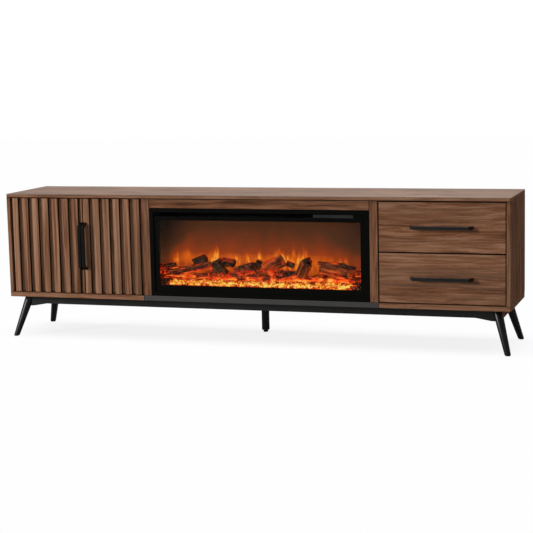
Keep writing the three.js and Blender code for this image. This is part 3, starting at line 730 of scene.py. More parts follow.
@cache
def charred_wood():
    """Split and burnt logs: brown fibres, black plated char, fire in seams and cracks,
    and painted light from the embers on their undersides and from the flames on their tops.
    """
    values = settings("fire")
    glass_low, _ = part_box("fireplace_glass")
    bed_top = glass_low.z + 0.020
    made, place = new_material("charred_wood", Specular_IOR_Level=0.2, Emission_Strength=1.0)
    tree = place.tree
    grain = attribute(tree, "grain", "Vector")
    crack, rim, char, glow = (
        attribute(tree, name) for name in ("crack", "rim", "char", "glow"))
    fibres = noise_at(grain, (9, 130, 130), 4.0, 0.6)
    split = ramp(
        fibres, (0.40, srgb(18, 8, 5)), (0.52, values.bark), (0.63, srgb(200, 92, 32)))
    soot = ramp(
        noise_at(place, 120, 4.0, 0.6), (0.42, values.char), (0.66, srgb(108, 74, 46)))
    cut = ramp(
        calc("SINE", rim * 40.0) * 0.25 + 0.5, (0.2, srgb(84, 34, 20)),
        (0.8, srgb(196, 102, 54)))
    patches = smooth(noise_at(grain, (14, 50, 50), 3.0), 0.44, 0.58)
    burnt = (patches * 0.55 + char).clamped()
    body = mix(smooth(rim, 0.999, 0.97), split, cut)
    body = mix(burnt, body, soot)
    body = mix(crack * 0.85, body, srgb(9, 7, 6))
    _, _, height = place.parts()
    _, _, facing = put(tree, "ShaderNodeNewGeometry", output="Normal").parts()
    low_down = smooth(height, bed_top - 0.004, bed_top + 0.030, 1.0, 0.0)
    rod = smooth(noise_at(place, 17), 0.46, 0.64, 0.20, 0.60)
    # Painted light: undersides close over the bed glow as if lit by the embers
    under = smooth(facing, -0.95, -0.1, 1.0, 0.0)
    ember_light_reach = smooth(height, bed_top, bed_top + 0.085, 1.0, 0.0)
    seams = smooth(noise_at(grain, (9, 190, 190)), 0.57, 0.66) * (1.0 - burnt)
    gaps = crack * smooth(height, bed_top, bed_top + 0.07, 0.75, 0.0)
    # Painted light: upward faces glow as if lit by the flames
    painted_flame_light = smooth(facing, 0.1, 0.9) * 0.20
    flicker = smooth(noise_at(place, 30, 3.0), 0.39, 0.58, 0.04, 1.20)
    brightness = highest(
        low_down * (fibres * 0.5 + 0.30), glow * rod, under * ember_light_reach * 0.62, seams * 0.58,
        gaps, painted_flame_light) * flicker + glow * 0.08
    fire = ramp(
        brightness, (0.0, srgb(0, 0, 0)), (0.12, srgb(76, 22, 5)), (0.30, srgb(206, 34, 10)),
        (0.48, srgb(242, 84, 20)), (0.70, srgb(255, 146, 40)), (0.92, srgb(255, 226, 124)))
    return finished(
        made, fibres * 0.5 - crack, 0.0012, Base_Color=body, Emission_Color=fire,
        Roughness=fibres * 0.2 + 0.62)


# Pieces

def as_piece(obj, name, finish, node, replaced=()):
    """Names a mesh object, finishes it and hangs it on the body that a node is on."""
    obj.name = name
    obj.data.name = name
    if not obj.data.materials:
        obj.data.materials.append(finish)
    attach(obj, BODY_OF[node])
    if replaced:
        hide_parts(*replaced)
    return obj


def new_object(name, data):
    obj = bpy.data.objects.new(name, data)
    bpy.context.scene.collection.objects.link(obj)
    return obj


def plain_mesh(mesh, name):
    data = bpy.data.meshes.new(name)
    mesh.to_mesh(data)
    mesh.free()
    return data


def mesh_object(mesh, name):
    return new_object(name, plain_mesh(mesh, name))


def add_box(mesh, low, high):
    place = Matrix.Translation((low + high) / 2) @ Matrix.Diagonal((*(high - low), 1))
    bmesh.ops.create_cube(mesh, size=1.0, matrix=place)


def skin(mesh, loops):
    """Faces between each ring of vertices and the next."""
    for low, high in zip(loops, loops[1:]):
        for i in range(len(low)):
            mesh.faces.new((low[i - 1], low[i], high[i], high[i - 1]))


def smooth_sides(data, sharp_degrees):
    """Shades a mesh smooth, but for the edges that are sharper than an angle."""
    data.shade_smooth()
    data.set_sharp_from_angle(angle=math.radians(sharp_degrees))


def merged_copy(node):
    """A CAD node's loose triangles as one closed mesh with whole flat faces."""
    mesh = bmesh.new()
    mesh.from_mesh(NODES[node].data)
    bmesh.ops.remove_doubles(mesh, verts=mesh.verts, dist=1e-6)
    bmesh.ops.dissolve_limit(
        mesh, angle_limit=math.radians(1), verts=mesh.verts, edges=mesh.edges)
    return mesh


def ease_edges(mesh, width, least_angle=25, segments=2):
    """Rounds the sharp edges and marks the new faces for the edge wear
    and painted highlight.
    """
    mark = mesh.faces.layers.float.new("edge")
    sharp = [
        edge for edge in mesh.edges
        if edge.is_manifold and edge.calc_face_angle() > math.radians(least_angle)
    ]
    made = bmesh.ops.bevel(
        mesh, geom=sharp, offset=width, segments=segments, profile=0.5,
        affect="EDGES", clamp_overlap=True)
    for face in made["faces"]:
        face[mark] = 1.0


GRAIN_ORDER = {"x": (0, 1, 2), "y": (1, 2, 0), "z": (2, 0, 1)}
BOARD_SHIFT = Vector((7.3, 3.1, 1.7))


def lay_grain(data, axis, tones, run=1.0):
    """Stores each point's place with the grain's axis first, shifted by its board's tone."""
    places = []
    for vertex, tone in zip(data.vertices, tones):
        along, *across = (vertex.co[i] for i in GRAIN_ORDER[axis])
        places.extend(Vector((along * run, *across)) + BOARD_SHIFT * (1 + 10 * tone))
    data.attributes.new("grain", "FLOAT_VECTOR", "POINT").data.foreach_set("vector", places)


def lay_board(data, axis, board):
    """Gives a whole mesh the tone of one board and its run of grain."""
    tones = [board] * len(data.vertices)
    data.attributes.new("board", "FLOAT", "POINT").data.foreach_set("value", tones)
    lay_grain(data, axis, tones)


def shade_flanks(mesh, amount):
    """Marks the faces that look sideways, up or down, for painted shade."""
    mark = mesh.faces.layers.float.new("flank")
    front_or_back = 0.5
    for face in mesh.faces:
        if abs(face.normal.y) < front_or_back:
            face[mark] = amount


def darken_joints(mesh, amount):
    """Marks the eased edges round a front face, where dirt and shade gather in a joint."""
    layers = mesh.faces.layers.float
    mark = layers.get("flank") or layers.new("flank")
    least, most = 0.3, 0.97
    for face in mesh.faces:
        if least < abs(face.normal.y) < most:
            face[mark] = amount


def dress(
    node, finish, edge, axis=None, board=0.5, least_angle=25, segments=2, flank_shade=0.0,
    joint=0.0, rounded=False,
):
    """A finished piece in the place of one CAD node, with eased edges."""
    mesh = merged_copy(node)
    ease_edges(mesh, edge, least_angle, segments)
    if flank_shade:
        shade_flanks(mesh, flank_shade)
    if joint:
        darken_joints(mesh, joint)
    obj = mesh_object(mesh, node)
    if rounded:
        smooth_sides(obj.data, 30)
    if axis:
        lay_board(obj.data, axis, board)
    return as_piece(obj, f"{node}_piece", finish, node, (node,))


def refinish(node, finish):
    """Keeps a CAD node's shape and gives it a better finish."""
    for slot in NODES[node].material_slots:
        slot.material = finish


def grow(name, tree, values, finish, node, seed_mesh=None):
    """Runs a Geometry Nodes tree once and keeps its result as a plain mesh piece."""
    obj = new_object(name, seed_mesh or bpy.data.meshes.new(name))
    modifier = obj.modifiers.new(name, "NODES")
    modifier.node_group = tree
    named = {"Finish": finish, **values}
    for item in tree.interface.items_tree:
        if item.in_out == "INPUT" and item.name in named:
            modifier[item.identifier] = named[item.name]
    ready = obj.evaluated_get(bpy.context.evaluated_depsgraph_get())
    result = bpy.data.meshes.new_from_object(ready)
    obj.modifiers.clear()
    obj.data = result
    if not result.polygons:
        raise RuntimeError(f"{name} came out empty")
    return as_piece(obj, name, finish, node)


# Geometry Nodes trees

def geometry_group(name, inputs):
    return group_tree(
        "GeometryNodeTree", name,
        [("Geometry", "Geometry"), *inputs, ("Finish", "Material")], ["Geometry"], "Geometry")


def close_tree(given, result, instances):
    """Every tree ends with real, finished geometry."""
    tree = instances.tree
    real = put(tree, "GeometryNodeRealizeInstances", {"Geometry": instances})
    feed(result["Geometry"], put(tree, "GeometryNodeSetMaterial", {
        "Geometry": real, "Material": given["Finish"]}))


def store(geometry, name, domain, value):
    return put(geometry.tree, "GeometryNodeStoreNamedAttribute", {
        "Geometry": geometry, "Name": name, "Value": value}, data_type="FLOAT", domain=domain)


def random_number(seed, low, high):
    return put(
        seed.tree, "FunctionNodeRandomValue", {2: low, 3: high, "Seed": seed}, output=1)


def random_vector(seed, low, high):
    return put(
        seed.tree, "FunctionNodeRandomValue", {0: low, 1: high, "Seed": seed},
        data_type="FLOAT_VECTOR")


@cache
def batten_row():
    """Upright battens in a row, each with rounded front edges and a tone of its own."""
    tree, given, result = geometry_group("Batten Row", [
        ("Start", "Vector"), ("Step", "Float"), ("Count", "Int", 1), ("Width", "Float"),
        ("Depth", "Float"), ("Height", "Float"), ("Round", "Float"), ("Seed", "Int", 1),
    ])
    row = put(tree, "GeometryNodeMeshLine", {
        "Count": given["Count"], "Start Location": given["Start"],
        "Offset": put(tree, "ShaderNodeCombineXYZ", {"X": given["Step"]})})
    outline = put(tree, "GeometryNodeCurvePrimitiveQuadrilateral", {
        "Width": given["Width"], "Height": given["Depth"]})
    outline = put(tree, "GeometryNodeFilletCurve", {
        "Curve": outline, "Radius": given["Round"], "Count": 3}, mode="POLY")
    path = put(tree, "GeometryNodeCurvePrimitiveLine", {
        "End": put(tree, "ShaderNodeCombineXYZ", {"Z": given["Height"]})})
    batten = put(tree, "GeometryNodeCurveToMesh", {
        "Curve": path, "Profile Curve": outline, "Fill Caps": True})
    sideways, _, _ = put(tree, "GeometryNodeInputNormal").parts()
    # Painted shade: the battens' sides are marked for the near-black flank colour
    batten = store(batten, "flank", "FACE", calc("GREATER_THAN", abs(sideways), 0.9))
    placed = put(tree, "GeometryNodeInstanceOnPoints", {"Points": row, "Instance": batten})
    tone = random_number(given["Seed"], 0.52, 0.98)
    close_tree(given, result, store(placed, "board", "INSTANCE", tone))
    return tree


@cache
def chip_bed():
    """Broken chips strewn over a surface, each turned, stretched and lit by chance."""
    tree, given, result = geometry_group("Chip Bed", [
        ("Density", "Float"), ("Size", "Float"), ("Seed", "Int", 1),
    ])
    seed = given["Seed"]
    points = put(tree, "GeometryNodeDistributePointsOnFaces", {
        "Mesh": given["Geometry"], "Density": given["Density"], "Seed": seed})
    chip = put(tree, "GeometryNodeMeshIcoSphere", {"Radius": 0.5, "Subdivisions": 1})
    turn = random_vector(seed, (0.0, 0.0, 0.0), (math.tau, math.tau, math.tau))
    swell = random_vector(seed + 1, (0.5, 0.4, 0.3), (1.3, 1.1, 0.8))
    placed = put(tree, "GeometryNodeInstanceOnPoints", {
        "Points": points, "Instance": chip, "Rotation": turn, "Scale": swell * given["Size"]})
    spark = random_number(seed + 2, 0.0, 1.0)
    close_tree(given, result, store(placed, "spark", "INSTANCE", spark))
    return tree


@cache
def screw_row():
    """Copies of one screw head, evenly spaced from a first to a last place."""
    tree, given, result = geometry_group("Screw Row", [
        ("First", "Vector"), ("Last", "Vector"), ("Count", "Int", 2),
    ])
    row = put(tree, "GeometryNodeMeshLine", {
        "Count": given["Count"], "Start Location": given["First"], "Offset": given["Last"],
    }, mode="END_POINTS")
    close_tree(given, result, put(tree, "GeometryNodeInstanceOnPoints", {
        "Points": row, "Instance": given["Geometry"]}))
    return tree


# Operators, one for each group of pieces

class CABINET_OT_carcass(Operator):
    """Boards of the carcass, each with its own run of grain"""

    bl_idname = "cabinet.carcass"
    bl_label = "Carcass boards"

    # How much rounder the top board's edges are than those of the other boards
    top_ease = 1.6
    # How far the joints round all fronts are darkened, as dirt and painted shade, and how far
    # the front edge of the right side is darkened
    joint_dirt_and_shade = 0.9
    right_front_darkening = 0.16
    # Least share of a face's normal that points up on the satin faces, and to the front
    up, front = 0.3, 0.9
    # Grain axis and tone of each walnut board
    boards = {
        "top_panel": ("x", 0.66), "left_side_panel": ("z", 0.60),
        "right_side_panel": ("z", 0.47), "left_bottom_panel": ("x", 0.50),
        "right_bottom_panel": ("x", 0.55), "left_partition": ("z", 0.34),
        "right_partition": ("z", 0.33), "centre_top_rail": ("x", 0.26),
        "cabinet_shelf": ("x", 0.52), "left_apron": ("y", 0.21), "right_apron": ("y", 0.26),
    }

    def execute(self, context):
        edge = settings("walnut").eased_edge
        for node, (axis, board) in self.boards.items():
            width = edge * self.top_ease if node == "top_panel" else edge
            piece = dress(node, walnut(), width, axis, board, joint=self.joint_dirt_and_shade)
            if node == "top_panel":
                piece.data.materials.append(walnut_top())
                for face in piece.data.polygons:
                    face.material_index = int(face.normal.z > self.up)
            if node == "right_side_panel":
                darkened = piece.data.attributes["flank"].data
                for face in piece.data.polygons:
                    if face.normal.y < -self.front:
                        darkened[face.index].value = self.right_front_darkening
        dress("centre_bottom_panel", grey_board(), edge)
        return {"FINISHED"}


class CABINET_OT_back(Operator):
    """Back boards and the screws that hold them"""

    bl_idname = "cabinet.back"
    bl_label = "Back boards"

    inset: length("Screw inset", "Distance of the screws from the board's edges", 0.010)
    head: length("Screw head", "Radius of a screw's head", 0.0036)
    rise: length("Screw rise", "Height of a screw's dome", 0.0011)
    spacing: length("Screw spacing", "Largest distance between screws", 0.16)

    def screw(self):
        """A low domed head with a round recess, facing +Y, its seat at the origin."""
        sides, rim, recess = 16, 0.0005, 0.0006
        mesh = bmesh.new()
        loops = []
        for width, height in ((1.0, 0.0), (0.86, 0.75), (0.5, 1.0)):
            loops.append([])
            for i in range(sides):
                angle = math.tau * i / sides
                loops[-1].append(mesh.verts.new((
                    self.head * width * math.cos(angle), self.rise * height,
                    self.head * width * math.sin(angle))))
        skin(mesh, loops)
        mesh.faces.new(reversed(loops[0]))
        crown = mesh.faces.new(loops[-1])
        bmesh.ops.inset_region(mesh, faces=[crown], thickness=rim, depth=-recess)
        bmesh.ops.recalc_face_normals(mesh, faces=mesh.faces)
        return plain_mesh(mesh, "screw_head")

    def execute(self, context):
        edge = settings("walnut").eased_edge / 2
        for node in ("left_back_panel", "centre_back_panel", "right_back_panel"):
            dress(node, back_board(), edge)
            low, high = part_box(node)
            left, right = low.x + self.inset, high.x - self.inset
            count = math.ceil((right - left) / self.spacing) + 1
            seat = high.y - self.rise
            for row, z in (("lower", low.z + self.inset), ("upper", high.z - self.inset)):
                ends = {"First": (left, seat, z), "Last": (right, seat, z), "Count": count}
                grow(
                    f"{node}_{row}_screws", screw_row(), ends, zinc_plate(), node,
                    self.screw())
        return {"FINISHED"}


class CABINET_OT_doors(Operator):
    """Both doors: a backing board with battens planted on it"""

    bl_idname = "cabinet.doors"
    bl_label = "Battened doors"

    # The backing board is lifted towards pale wood: painted light on the groove floors between
    # the battens
    leaf_tone_with_painted_light = 1.25
    # Painted shade on the leaf's edges, seen in the gaps beside the doors
    leaf_flank_shade = 0.68
    # The battens are cut from straighter wood: their grain runs this much slower
    batten_grain_run = 0.3

    def leaf(self, node):
        """The backing board behind the battens."""
        values = settings("doors")
        low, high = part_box(node)
        mesh = bmesh.new()
        add_box(mesh, low + Vector((0, values.batten_depth, 0)), high)
        ease_edges(mesh, settings("walnut").eased_edge)
        shade_flanks(mesh, self.leaf_flank_shade)
        obj = mesh_object(mesh, node)
        lay_board(obj.data, "z", self.leaf_tone_with_painted_light)
        as_piece(obj, f"{node}_leaf", walnut(), node, (node,))

    def battens(self, name, node, first, last, count, width, seed):
        """A row of battens; the grain starts anew on each, by the tone that it was given."""
        values = settings("doors")
        low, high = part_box(node)
        step = (last - first) / max(1, count - 1)
        obj = grow(name, batten_row(), {
            "Start": (first + width / 2, low.y + values.batten_depth / 2, low.z),
            "Step": step, "Count": count, "Width": width, "Depth": values.batten_depth,
            "Height": high.z - low.z, "Round": values.batten_round, "Seed": seed,
        }, walnut_battens(), node)
        tones = [0.0] * len(obj.data.vertices)
        obj.data.attributes["board"].data.foreach_get("value", tones)
        lay_grain(obj.data, "z", tones, self.batten_grain_run)

    def execute(self, context):
        values = settings("doors")
        width = values.batten_width
        self.leaf("left_door")
        self.leaf("right_door")
        low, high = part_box("left_door")
        last = high.x - values.strip_width - values.strip_gap - width
        self.battens(
            "left_door_battens", "left_door", low.x + values.margin, last,
            values.left_battens, width, 4)
        strip = high.x - values.strip_width
        self.battens(
            "left_door_end_strip", "left_door", strip, strip, 1, values.strip_width, 9)
        low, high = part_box("right_door")
        self.battens(
            "right_door_battens", "right_door", low.x, high.x - values.margin - width,
            values.right_battens, width, 7)
        return {"FINISHED"}


class CABINET_OT_drawers(Operator):
    """Drawer fronts, boxes and bottoms"""

    bl_idname = "cabinet.drawers"
    bl_label = "Drawers"

    def execute(self, context):
        edge = settings("walnut").eased_edge
        for level, board in (("lower", 0.48), ("upper", 0.53)):
            # Painted shade: the fronts' sides, seen in the gaps, and the joints round them are
            # darkened
            dress(f"{level}_drawer_front", walnut(), edge, "x", board, flank_shade=1.0, joint=1.0)
            dress(f"{level}_drawer_box", drawer_board(), edge)
            dress(f"{level}_drawer_bottom", drawer_board(), edge / 2)
        return {"FINISHED"}


class CABINET_OT_pulls(Operator):
    """Arched black pulls on doors and drawers"""

    bl_idname = "cabinet.pulls"
    bl_label = "Pulls"

    def execute(self, context):
        edge = settings("metal").edge / 2
        upright = powder_coat("door_pull_coat", 0.10)
        level = powder_coat("drawer_pull_coat", 0.37)
        for place, finish in (
            ("left_door", upright), ("right_door", upright),
            ("lower_drawer", level), ("upper_drawer", level),
        ):
            dress(f"{place}_handle", finish, edge, least_angle=15)
        return {"FINISHED"}


class CABINET_OT_base(Operator):
    """Leaning steel legs, rails and the centre leg"""

    bl_idname = "cabinet.base"
    bl_label = "Steel base"

    def execute(self, context):
        edge = settings("metal").edge
        for corner in ("front_left", "front_right", "back_left", "back_right"):
            dress(
                f"{corner}_leg", powder_coat(), edge, least_angle=20, segments=3,
                rounded=True)
        dress("centre_leg", powder_coat(), edge, rounded=True)
        for node in ("front_rail", "back_rail"):
            dress(node, powder_coat(), edge)
        return {"FINISHED"}


class CABINET_OT_hardware(Operator):
    """Runners, door pivots and the magnet catch"""

    bl_idname = "cabinet.hardware"
    bl_label = "Hardware"

    def execute(self, context):
        edge = settings("metal").edge / 3
        for node in NODES:
            if node.endswith("_runner"):
                dress(node, zinc_plate(), edge, least_angle=40)
            elif node.endswith("_pivot"):
                dress(node, pin_steel(), edge, least_angle=40)
        dress("door_magnet_catch", black_plastic(), edge * 2)
        return {"FINISHED"}


class CABINET_OT_insert(Operator):
    """Front of the insert: trim, plate, control strip and glass"""

    bl_idname = "cabinet.insert"
    bl_label = "Insert front"

    def execute(self, context):
        edge = settings("metal").edge
        dress("fireplace_trim", insert_black(), edge)
        dress("fireplace_front_plate", insert_black(), edge / 2)
        dress("fireplace_control_strip", strip_plastic(), edge, segments=3)
        refinish("fireplace_glass", fire_glass())
        return {"FINISHED"}


class CABINET_OT_works(Operator):
    """Housing, duct, blower, flicker rotor, inlet and rocker"""

    bl_idname = "cabinet.works"
    bl_label = "Insert works"

    def contacts(self):
        """Brass sleeves over the inlet's three contacts."""
        sleeve, half_width, half_height, reach = 0.0002, 0.001, 0.002, 0.012
        lap, margin, socket_width, socket_depth = 0.003, 0.016 / 3, 0.022, 0.015
        low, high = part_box("power_inlet")
        half = Vector((half_width + sleeve, 0, half_height + sleeve))
        mesh = bmesh.new()
        for place in (0.25, 0.5, 0.75):
            x = low.x + lap + margin + socket_width * place
            seat = Vector((x, high.y - socket_depth, (low.z + high.z) / 2))
            add_box(mesh, seat - half, seat + half + Vector((0, reach + sleeve, 0)))
        ease_edges(mesh, sleeve)
        obj = mesh_object(mesh, "inlet_contacts")
        as_piece(obj, obj.name, contact_brass(), "power_inlet")

    def execute(self, context):
        edge = settings("metal").edge / 2
        for node in ("fireplace_housing", "heater_duct"):
            dress(node, zinc_plate(), edge)
        for node in ("power_inlet", "power_rocker"):
            dress(node, black_plastic(), edge)
        refinish("blower_wheel", black_plastic())
        refinish("flicker_rotor", rotor_foil())
        self.contacts()
        return {"FINISHED"}


# Logs: both ends across and up the window, then radius as a share of the window's
# height and depth as a share of the space from glass to screen
LOG_SHARES = [
    (-0.061, 0.086, 0.302, 0.09, 0.037, 0.56), (0.289, 0.09, 0.655, 0.094, 0.039, 0.53),
    (0.633, 0.091, 1.008, 0.093, 0.039, 0.56), (-0.039, 0.254, 0.055, 0.273, 0.056, 0.6),
    (-0.03, 0.173, 0.033, 0.202, 0.054, 0.44), (0.034, 0.177, 0.153, 0.233, 0.071, 0.52),
    (0.154, 0.316, 0.211, 0.392, 0.083, 0.66), (0.106, 0.184, 0.242, 0.311, 0.054, 0.44),
    (0.27, 0.372, 0.308, 0.142, 0.095, 0.44), (0.297, 0.353, 0.358, 0.328, 0.075, 0.62),
    (0.228, 0.162, 0.271, 0.214, 0.05, 0.52), (0.368, 0.188, 0.466, 0.284, 0.087, 0.46),
    (0.472, 0.254, 0.489, 0.377, 0.058, 0.56), (0.512, 0.254, 0.603, 0.384, 0.095, 0.54),
    (0.621, 0.35, 0.655, 0.303, 0.05, 0.62), (0.578, 0.193, 0.709, 0.17, 0.062, 0.44),
    (0.691, 0.166, 0.723, 0.36, 0.1, 0.48), (0.792, 0.295, 0.925, 0.212, 0.1, 0.52),
    (0.774, 0.355, 0.907, 0.328, 0.031, 0.66), (0.886, 0.334, 0.961, 0.29, 0.041, 0.48),
    (0.954, 0.215, 0.997, 0.243, 0.054, 0.5), (0.477, 0.187, 0.527, 0.249, 0.041, 0.4),
    (0.525, 0.249, 0.565, 0.16, 0.037, 0.4), (0.704, 0.357, 0.742, 0.405, 0.062, 0.52),
]
CHARRED_LOGS = {3, 4, 6, 8, 9, 10, 11, 12, 14, 15, 19, 20, 23}
GLOWING_LOGS = {0, 1, 2, 21, 22}
GLASS_LAP = 0.004
LOG_SIDES = 40
LOG_RING_STEP = 0.0026
LOG_SHARP_ANGLE = 38
CHAR_PLATE = 0.011
SPLINTER_SEED = 100


def log_layers(mesh):
    """Makes all the vertex layers first, because a new one makes older ones stale."""
    numbers, vectors = mesh.verts.layers.float, mesh.verts.layers.float_vector
    names = ("crack", "char", "glow", "rim")
    vectors.new("grain")
    for name in names:
        numbers.new(name)
    return {"grain": vectors["grain"], **{name: numbers[name] for name in names}}


def split_faces(chance):
    """Five or six flat split faces round a log: each one's direction and distance."""
    count = chance.choice((5, 6))
    return [
        (math.tau * (i + chance.uniform(-0.25, 0.25)) / count, chance.uniform(0.80, 0.98))
        for i in range(count)
    ]


def add_log(mesh, layers, start, end, radius, number_of_log):
    """One log: flat split faces or round char, ragged along its length and at its ends."""
    chance = random.Random(number_of_log)
    charred = number_of_log in CHARRED_LOGS
    faces = split_faces(chance)
    along = end - start
    axis = along.normalized()
    side = axis.cross(Vector((0, 1, 0))).normalized()
    deep = side.cross(axis)
    rings = max(8, round(along.length / LOG_RING_STEP))
    corner, ripples = (1.12, 60) if charred else (1.25, 16)
    narrow_end = 0.93
    least_slant, groove, ragged_end, sunk_heart = 0.35, 0.0020, 0.3, 0.06
    own_shift = number_of_log * 0.37
    glowing = float(number_of_log in GLOWING_LOGS)
    loops = []
    for i in range(rings + 1):
        reach = i / rings
        centre = start + along * reach
        at_end = i in (0, rings)
        loops.append([])
        for j in range(LOG_SIDES):
            angle = math.tau * j / LOG_SIDES
            flat = min(
                distance / max(least_slant, math.cos(angle - heading))
                for heading, distance in faces
                if math.cos(angle - heading) > 0)
            out = radius * min(flat, corner)
            run = number_of_log * 5 + reach * along.length * ripples
            fine = Vector((math.cos(angle) * 4.5, math.sin(angle) * 4.5, run))
            out *= 1 + 0.07 * noise.noise(fine) + 0.05 * noise.noise(fine * 2.7)
            around = side * math.cos(angle) + deep * math.sin(angle)
            crack = 0.0
            if charred:
                near, second = noise.voronoi((centre + around * out) / CHAR_PLATE)[0][:2]
                crack = max(0.0, 1 - (second - near) / 0.30)
                out -= groove * crack
            if at_end:
                out *= narrow_end
            ragged = axis * radius * ragged_end * noise.noise(fine * 1.7) * at_end
            vertex = mesh.verts.new(centre + around * out + ragged)
            place = Vector((number_of_log + reach * along.length, radius * angle, own_shift))
            marks = {"crack": crack, "char": float(charred), "glow": glowing, "rim": 1.0}
            for name, value in {"grain": place, **marks}.items():
                vertex[layers[name]] = value
            loops[-1].append(vertex)
    skin(mesh, loops)
    for loop, outward in ((loops[0], -1), (loops[-1], 1)):
        middle = sum((v.co for v in loop), Vector()) / LOG_SIDES
        heart = mesh.verts.new(middle - axis * outward * radius * sunk_heart)
        heart[layers["grain"]] = Vector((number_of_log, 0.0, own_shift))
        heart[layers["char"]] = float(charred)
        for j in range(LOG_SIDES):
            mesh.faces.new((loop[j - 1], loop[j], heart))


class CABINET_OT_fire(Operator):
    """Flame screen, ember bed and burnt logs"""

    bl_idname = "cabinet.fire"
    bl_label = "Fire"

    def logs(self):
        low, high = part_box("fireplace_glass")
        lap = Vector((GLASS_LAP, 0, GLASS_LAP))
        low, high = low + lap, high - lap
        screen_low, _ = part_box("flame_screen")
        width, height = high.x - low.x, high.z - low.z

        def in_window(across, up, depth):
            return Vector((
                low.x + width * across, high.y + (screen_low.y - high.y) * depth,
                low.z + height * up))

        mesh = bmesh.new()
        layers = log_layers(mesh)
        for n, (x0, z0, x1, z1, girth, depth) in enumerate(LOG_SHARES):
            add_log(
                mesh, layers, in_window(x0, z0, depth), in_window(x1, z1, depth),
                height * girth, n)
        self.burnt_piece(mesh, "charred_logs", ("log_pile",))

    def splinters(self, count):
        """Small split pieces that lie between the logs."""
        low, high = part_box("fireplace_glass")
        near, far, lie, lift = -0.118, -0.086, 0.258, 0.014
        chance = random.Random(12)
        mesh = bmesh.new()
        layers = log_layers(mesh)
        for n in range(count):
            x = low.x + (high.x - low.x) * (n + chance.uniform(0.1, 0.9)) / count
            reach, slope = chance.uniform(0.014, 0.028), chance.uniform(-0.6, 0.6)
            middle = Vector((x, chance.uniform(near, far), lie + lift * abs(slope)))
            along = Vector((math.cos(slope), chance.uniform(-0.4, 0.4), math.sin(slope)))
            add_log(
                mesh, layers, middle - along * reach, middle + along * reach,
                chance.uniform(0.007, 0.012), SPLINTER_SEED + n)
        self.burnt_piece(mesh, "log_splinters", ())

    def burnt_piece(self, mesh, name, replaced):
        bmesh.ops.recalc_face_normals(mesh, faces=mesh.faces)
        obj = mesh_object(mesh, name)
        smooth_sides(obj.data, LOG_SHARP_ANGLE)
        as_piece(obj, name, charred_wood(), "log_pile", replaced)

    def bed_strip(self, near, far):
        """A strip of the bed's top, between two shares of its depth, and its area."""
        low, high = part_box("ember_bed")
        front, middle, back, inset = 0.226, 0.244, 0.248, 0.004
        left, right = low.x + inset, high.x - inset
        corners = []
        for part, sides in ((near, (left, right)), (far, (right, left))):
            y = low.y + (high.y - low.y) * part
            z = front + (middle - front) * min(2 * part, 1)
            z += (back - middle) * max(2 * part - 1, 0)
            corners.extend(Vector((x, y, z)) for x in sides)
        data = bpy.data.meshes.new("bed_strip")
        data.from_pydata(corners, [], [(0, 1, 2, 3)])
        area = (corners[1] - corners[0]).length * (corners[2] - corners[1]).length
        return data, area

    def execute(self, context):
        values = settings("fire")
        refinish("flame_screen", flame_film())
        dress("ember_bed", ember_glow(), 0.001)
        self.logs()
        self.splinters(values.splinters)
        for name, near, far, count, size, seed in (
            ("ember_chips", 0.04, 0.5, values.chips, values.chip_size, 3),
            ("ember_coals", 0.4, 0.96, values.coals, values.coal_size, 8),
        ):
            strip, area = self.bed_strip(near, far)
            grow(
                name, chip_bed(), {"Density": count / area, "Size": size, "Seed": seed},
                ember_glow(), "ember_bed", strip)
        return {"FINISHED"}


def seen_directly(tree):
    """1 for what the camera sees, straight or through glass, or else 0."""
    rays = tree.nodes.new("ShaderNodeLightPath")
    return highest(Value(rays, "Is Camera Ray"), Value(rays, "Is Transmission Ray"))


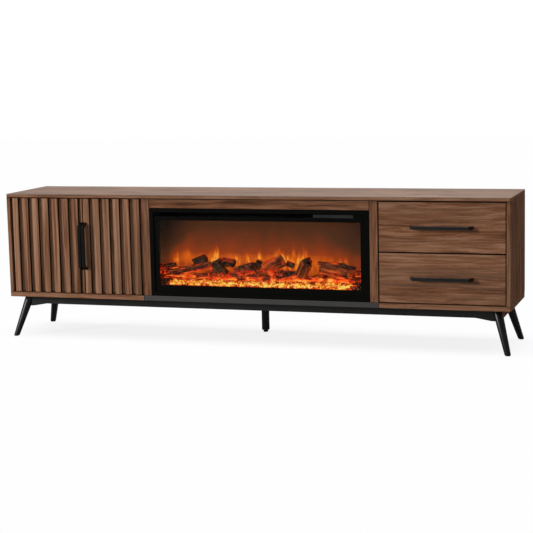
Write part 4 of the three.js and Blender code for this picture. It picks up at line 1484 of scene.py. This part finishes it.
class CABINET_OT_stage(Operator):
    """Floor, soft studio light and the camera"""

    bl_idname = "cabinet.stage"
    bl_label = "Stage"

    lit_place = Vector((0, 0, 0.35))

    def floor(self, values):
        """A pale floor that shows nearly white and keeps a soft shadow."""
        mesh = bmesh.new()
        bmesh.ops.create_grid(mesh, x_segments=1, y_segments=1, size=14.0)
        obj = mesh_object(mesh, "floor")
        made, place = new_material("floor_paper", Roughness=0.9, Specular_IOR_Level=0.1)
        tree = place.tree
        x, y, _ = place.parts()
        along = smooth(abs(x), 0.85, 1.20, 1.0, 0.0)
        across = smooth(abs(y - 0.06), 0.08, 0.30, 1.0, 0.0)
        shade = along * across * values.shadow
        seen = seen_directly(tree)
        paper = mix(seen, values.floor, values.paper)
        fibre = noise_at(place, 90, 3.0)
        finished(made, Base_Color=mix(fibre * 0.03, paper, srgb(0, 0, 0)))
        white = put(tree, "ShaderNodeEmission", {"Color": values.paper, "Strength": 1.0})
        lit = Value(tree.nodes["Principled BSDF"])
        feed(tree.nodes["Material Output"].inputs["Surface"], put(
            tree, "ShaderNodeMixShader", {0: seen * (1.0 - shade), 1: lit, 2: white}))
        obj.data.materials.append(made)

    def sky(self, scene, values):
        """Even light all round; the camera and glass see plain white."""
        world = bpy.data.worlds.new("studio")
        world.use_nodes = True
        background = world.node_tree.nodes["Background"].inputs
        background["Color"].default_value = (1, 1, 1, 1)
        seen = seen_directly(world.node_tree)
        feed(background["Strength"], seen * (1 - values.sky) + values.sky)
        scene.world = world

    def lamp(self, name, power, heading, height, distance, size):
        """A round soft light at a heading left of the front, in degrees as its height is."""
        data = bpy.data.lights.new(name, "AREA")
        data.shape = "DISK"
        data.size = size
        data.energy = power
        left, up = math.radians(heading), math.radians(height)
        towards = Vector((
            -math.sin(left) * math.cos(up), -math.cos(left) * math.cos(up), math.sin(up)))
        obj = new_object(name, data)
        obj.location = self.lit_place + towards * distance
        obj.rotation_euler = (-towards).to_track_quat("-Z", "Y").to_euler()

    def camera(self, scene, values):
        data = bpy.data.cameras.new("camera")
        data.sensor_fit = "HORIZONTAL"
        data.sensor_width = 36.0
        data.lens = values.lens
        data.clip_end = 60.0
        look_along_y = Matrix.Rotation(math.radians(90), 3, "X")
        turn = (
            Matrix.Rotation(values.heading, 3, "Z") @ Matrix.Rotation(values.tilt, 3, "X")
            @ Matrix.Rotation(values.roll, 3, "Y") @ look_along_y)
        scene.camera = new_object("camera", data)
        scene.camera.matrix_world = Matrix.Translation(values.camera_place) @ turn.to_4x4()

    def execute(self, context):
        scene = context.scene
        values = settings("stage")
        scene.view_settings.view_transform = "Standard"
        self.floor(values)
        self.sky(scene, values)
        self.lamp("key", values.key, heading=48.5, height=15, distance=12.0, size=2.8)
        self.lamp(
            "overhead", values.overhead, heading=180, height=84, distance=3.8, size=2.6)
        self.camera(scene, values)
        return {"FINISHED"}


OPERATORS = (
    CABINET_OT_stage, CABINET_OT_carcass, CABINET_OT_back, CABINET_OT_doors,
    CABINET_OT_drawers, CABINET_OT_pulls, CABINET_OT_base, CABINET_OT_hardware,
    CABINET_OT_insert, CABINET_OT_works, CABINET_OT_fire,
)


class CABINET_PT_build(Panel):
    """Lists the cabinet's settings and the steps that build it"""

    bl_idname = "CABINET_PT_build"
    bl_label = "Fireplace Cabinet"
    bl_space_type = "VIEW_3D"
    bl_region_type = "UI"
    bl_category = "Cabinet"

    def draw(self, context):
        for operator in OPERATORS:
            self.layout.operator(operator.bl_idname)
        for key in SETTINGS:
            box = self.layout.box()
            group = getattr(context.scene, key)
            for name in group.__annotations__:
                box.prop(group, name)


CLASSES = (*SETTINGS.values(), *OPERATORS, CABINET_PT_build)


def register():
    for item in CLASSES:
        bpy.utils.register_class(item)
    for key, group in SETTINGS.items():
        setattr(bpy.types.Scene, key, PointerProperty(type=group))


def unregister():
    for key in SETTINGS:
        delattr(bpy.types.Scene, key)
    for item in reversed(CLASSES):
        bpy.utils.unregister_class(item)


def main():
    random.seed(1)
    register()
    for operator in OPERATORS:
        group, name = operator.bl_idname.split(".")
        getattr(getattr(bpy.ops, group), name)()


if __name__ == "__main__":
    main()
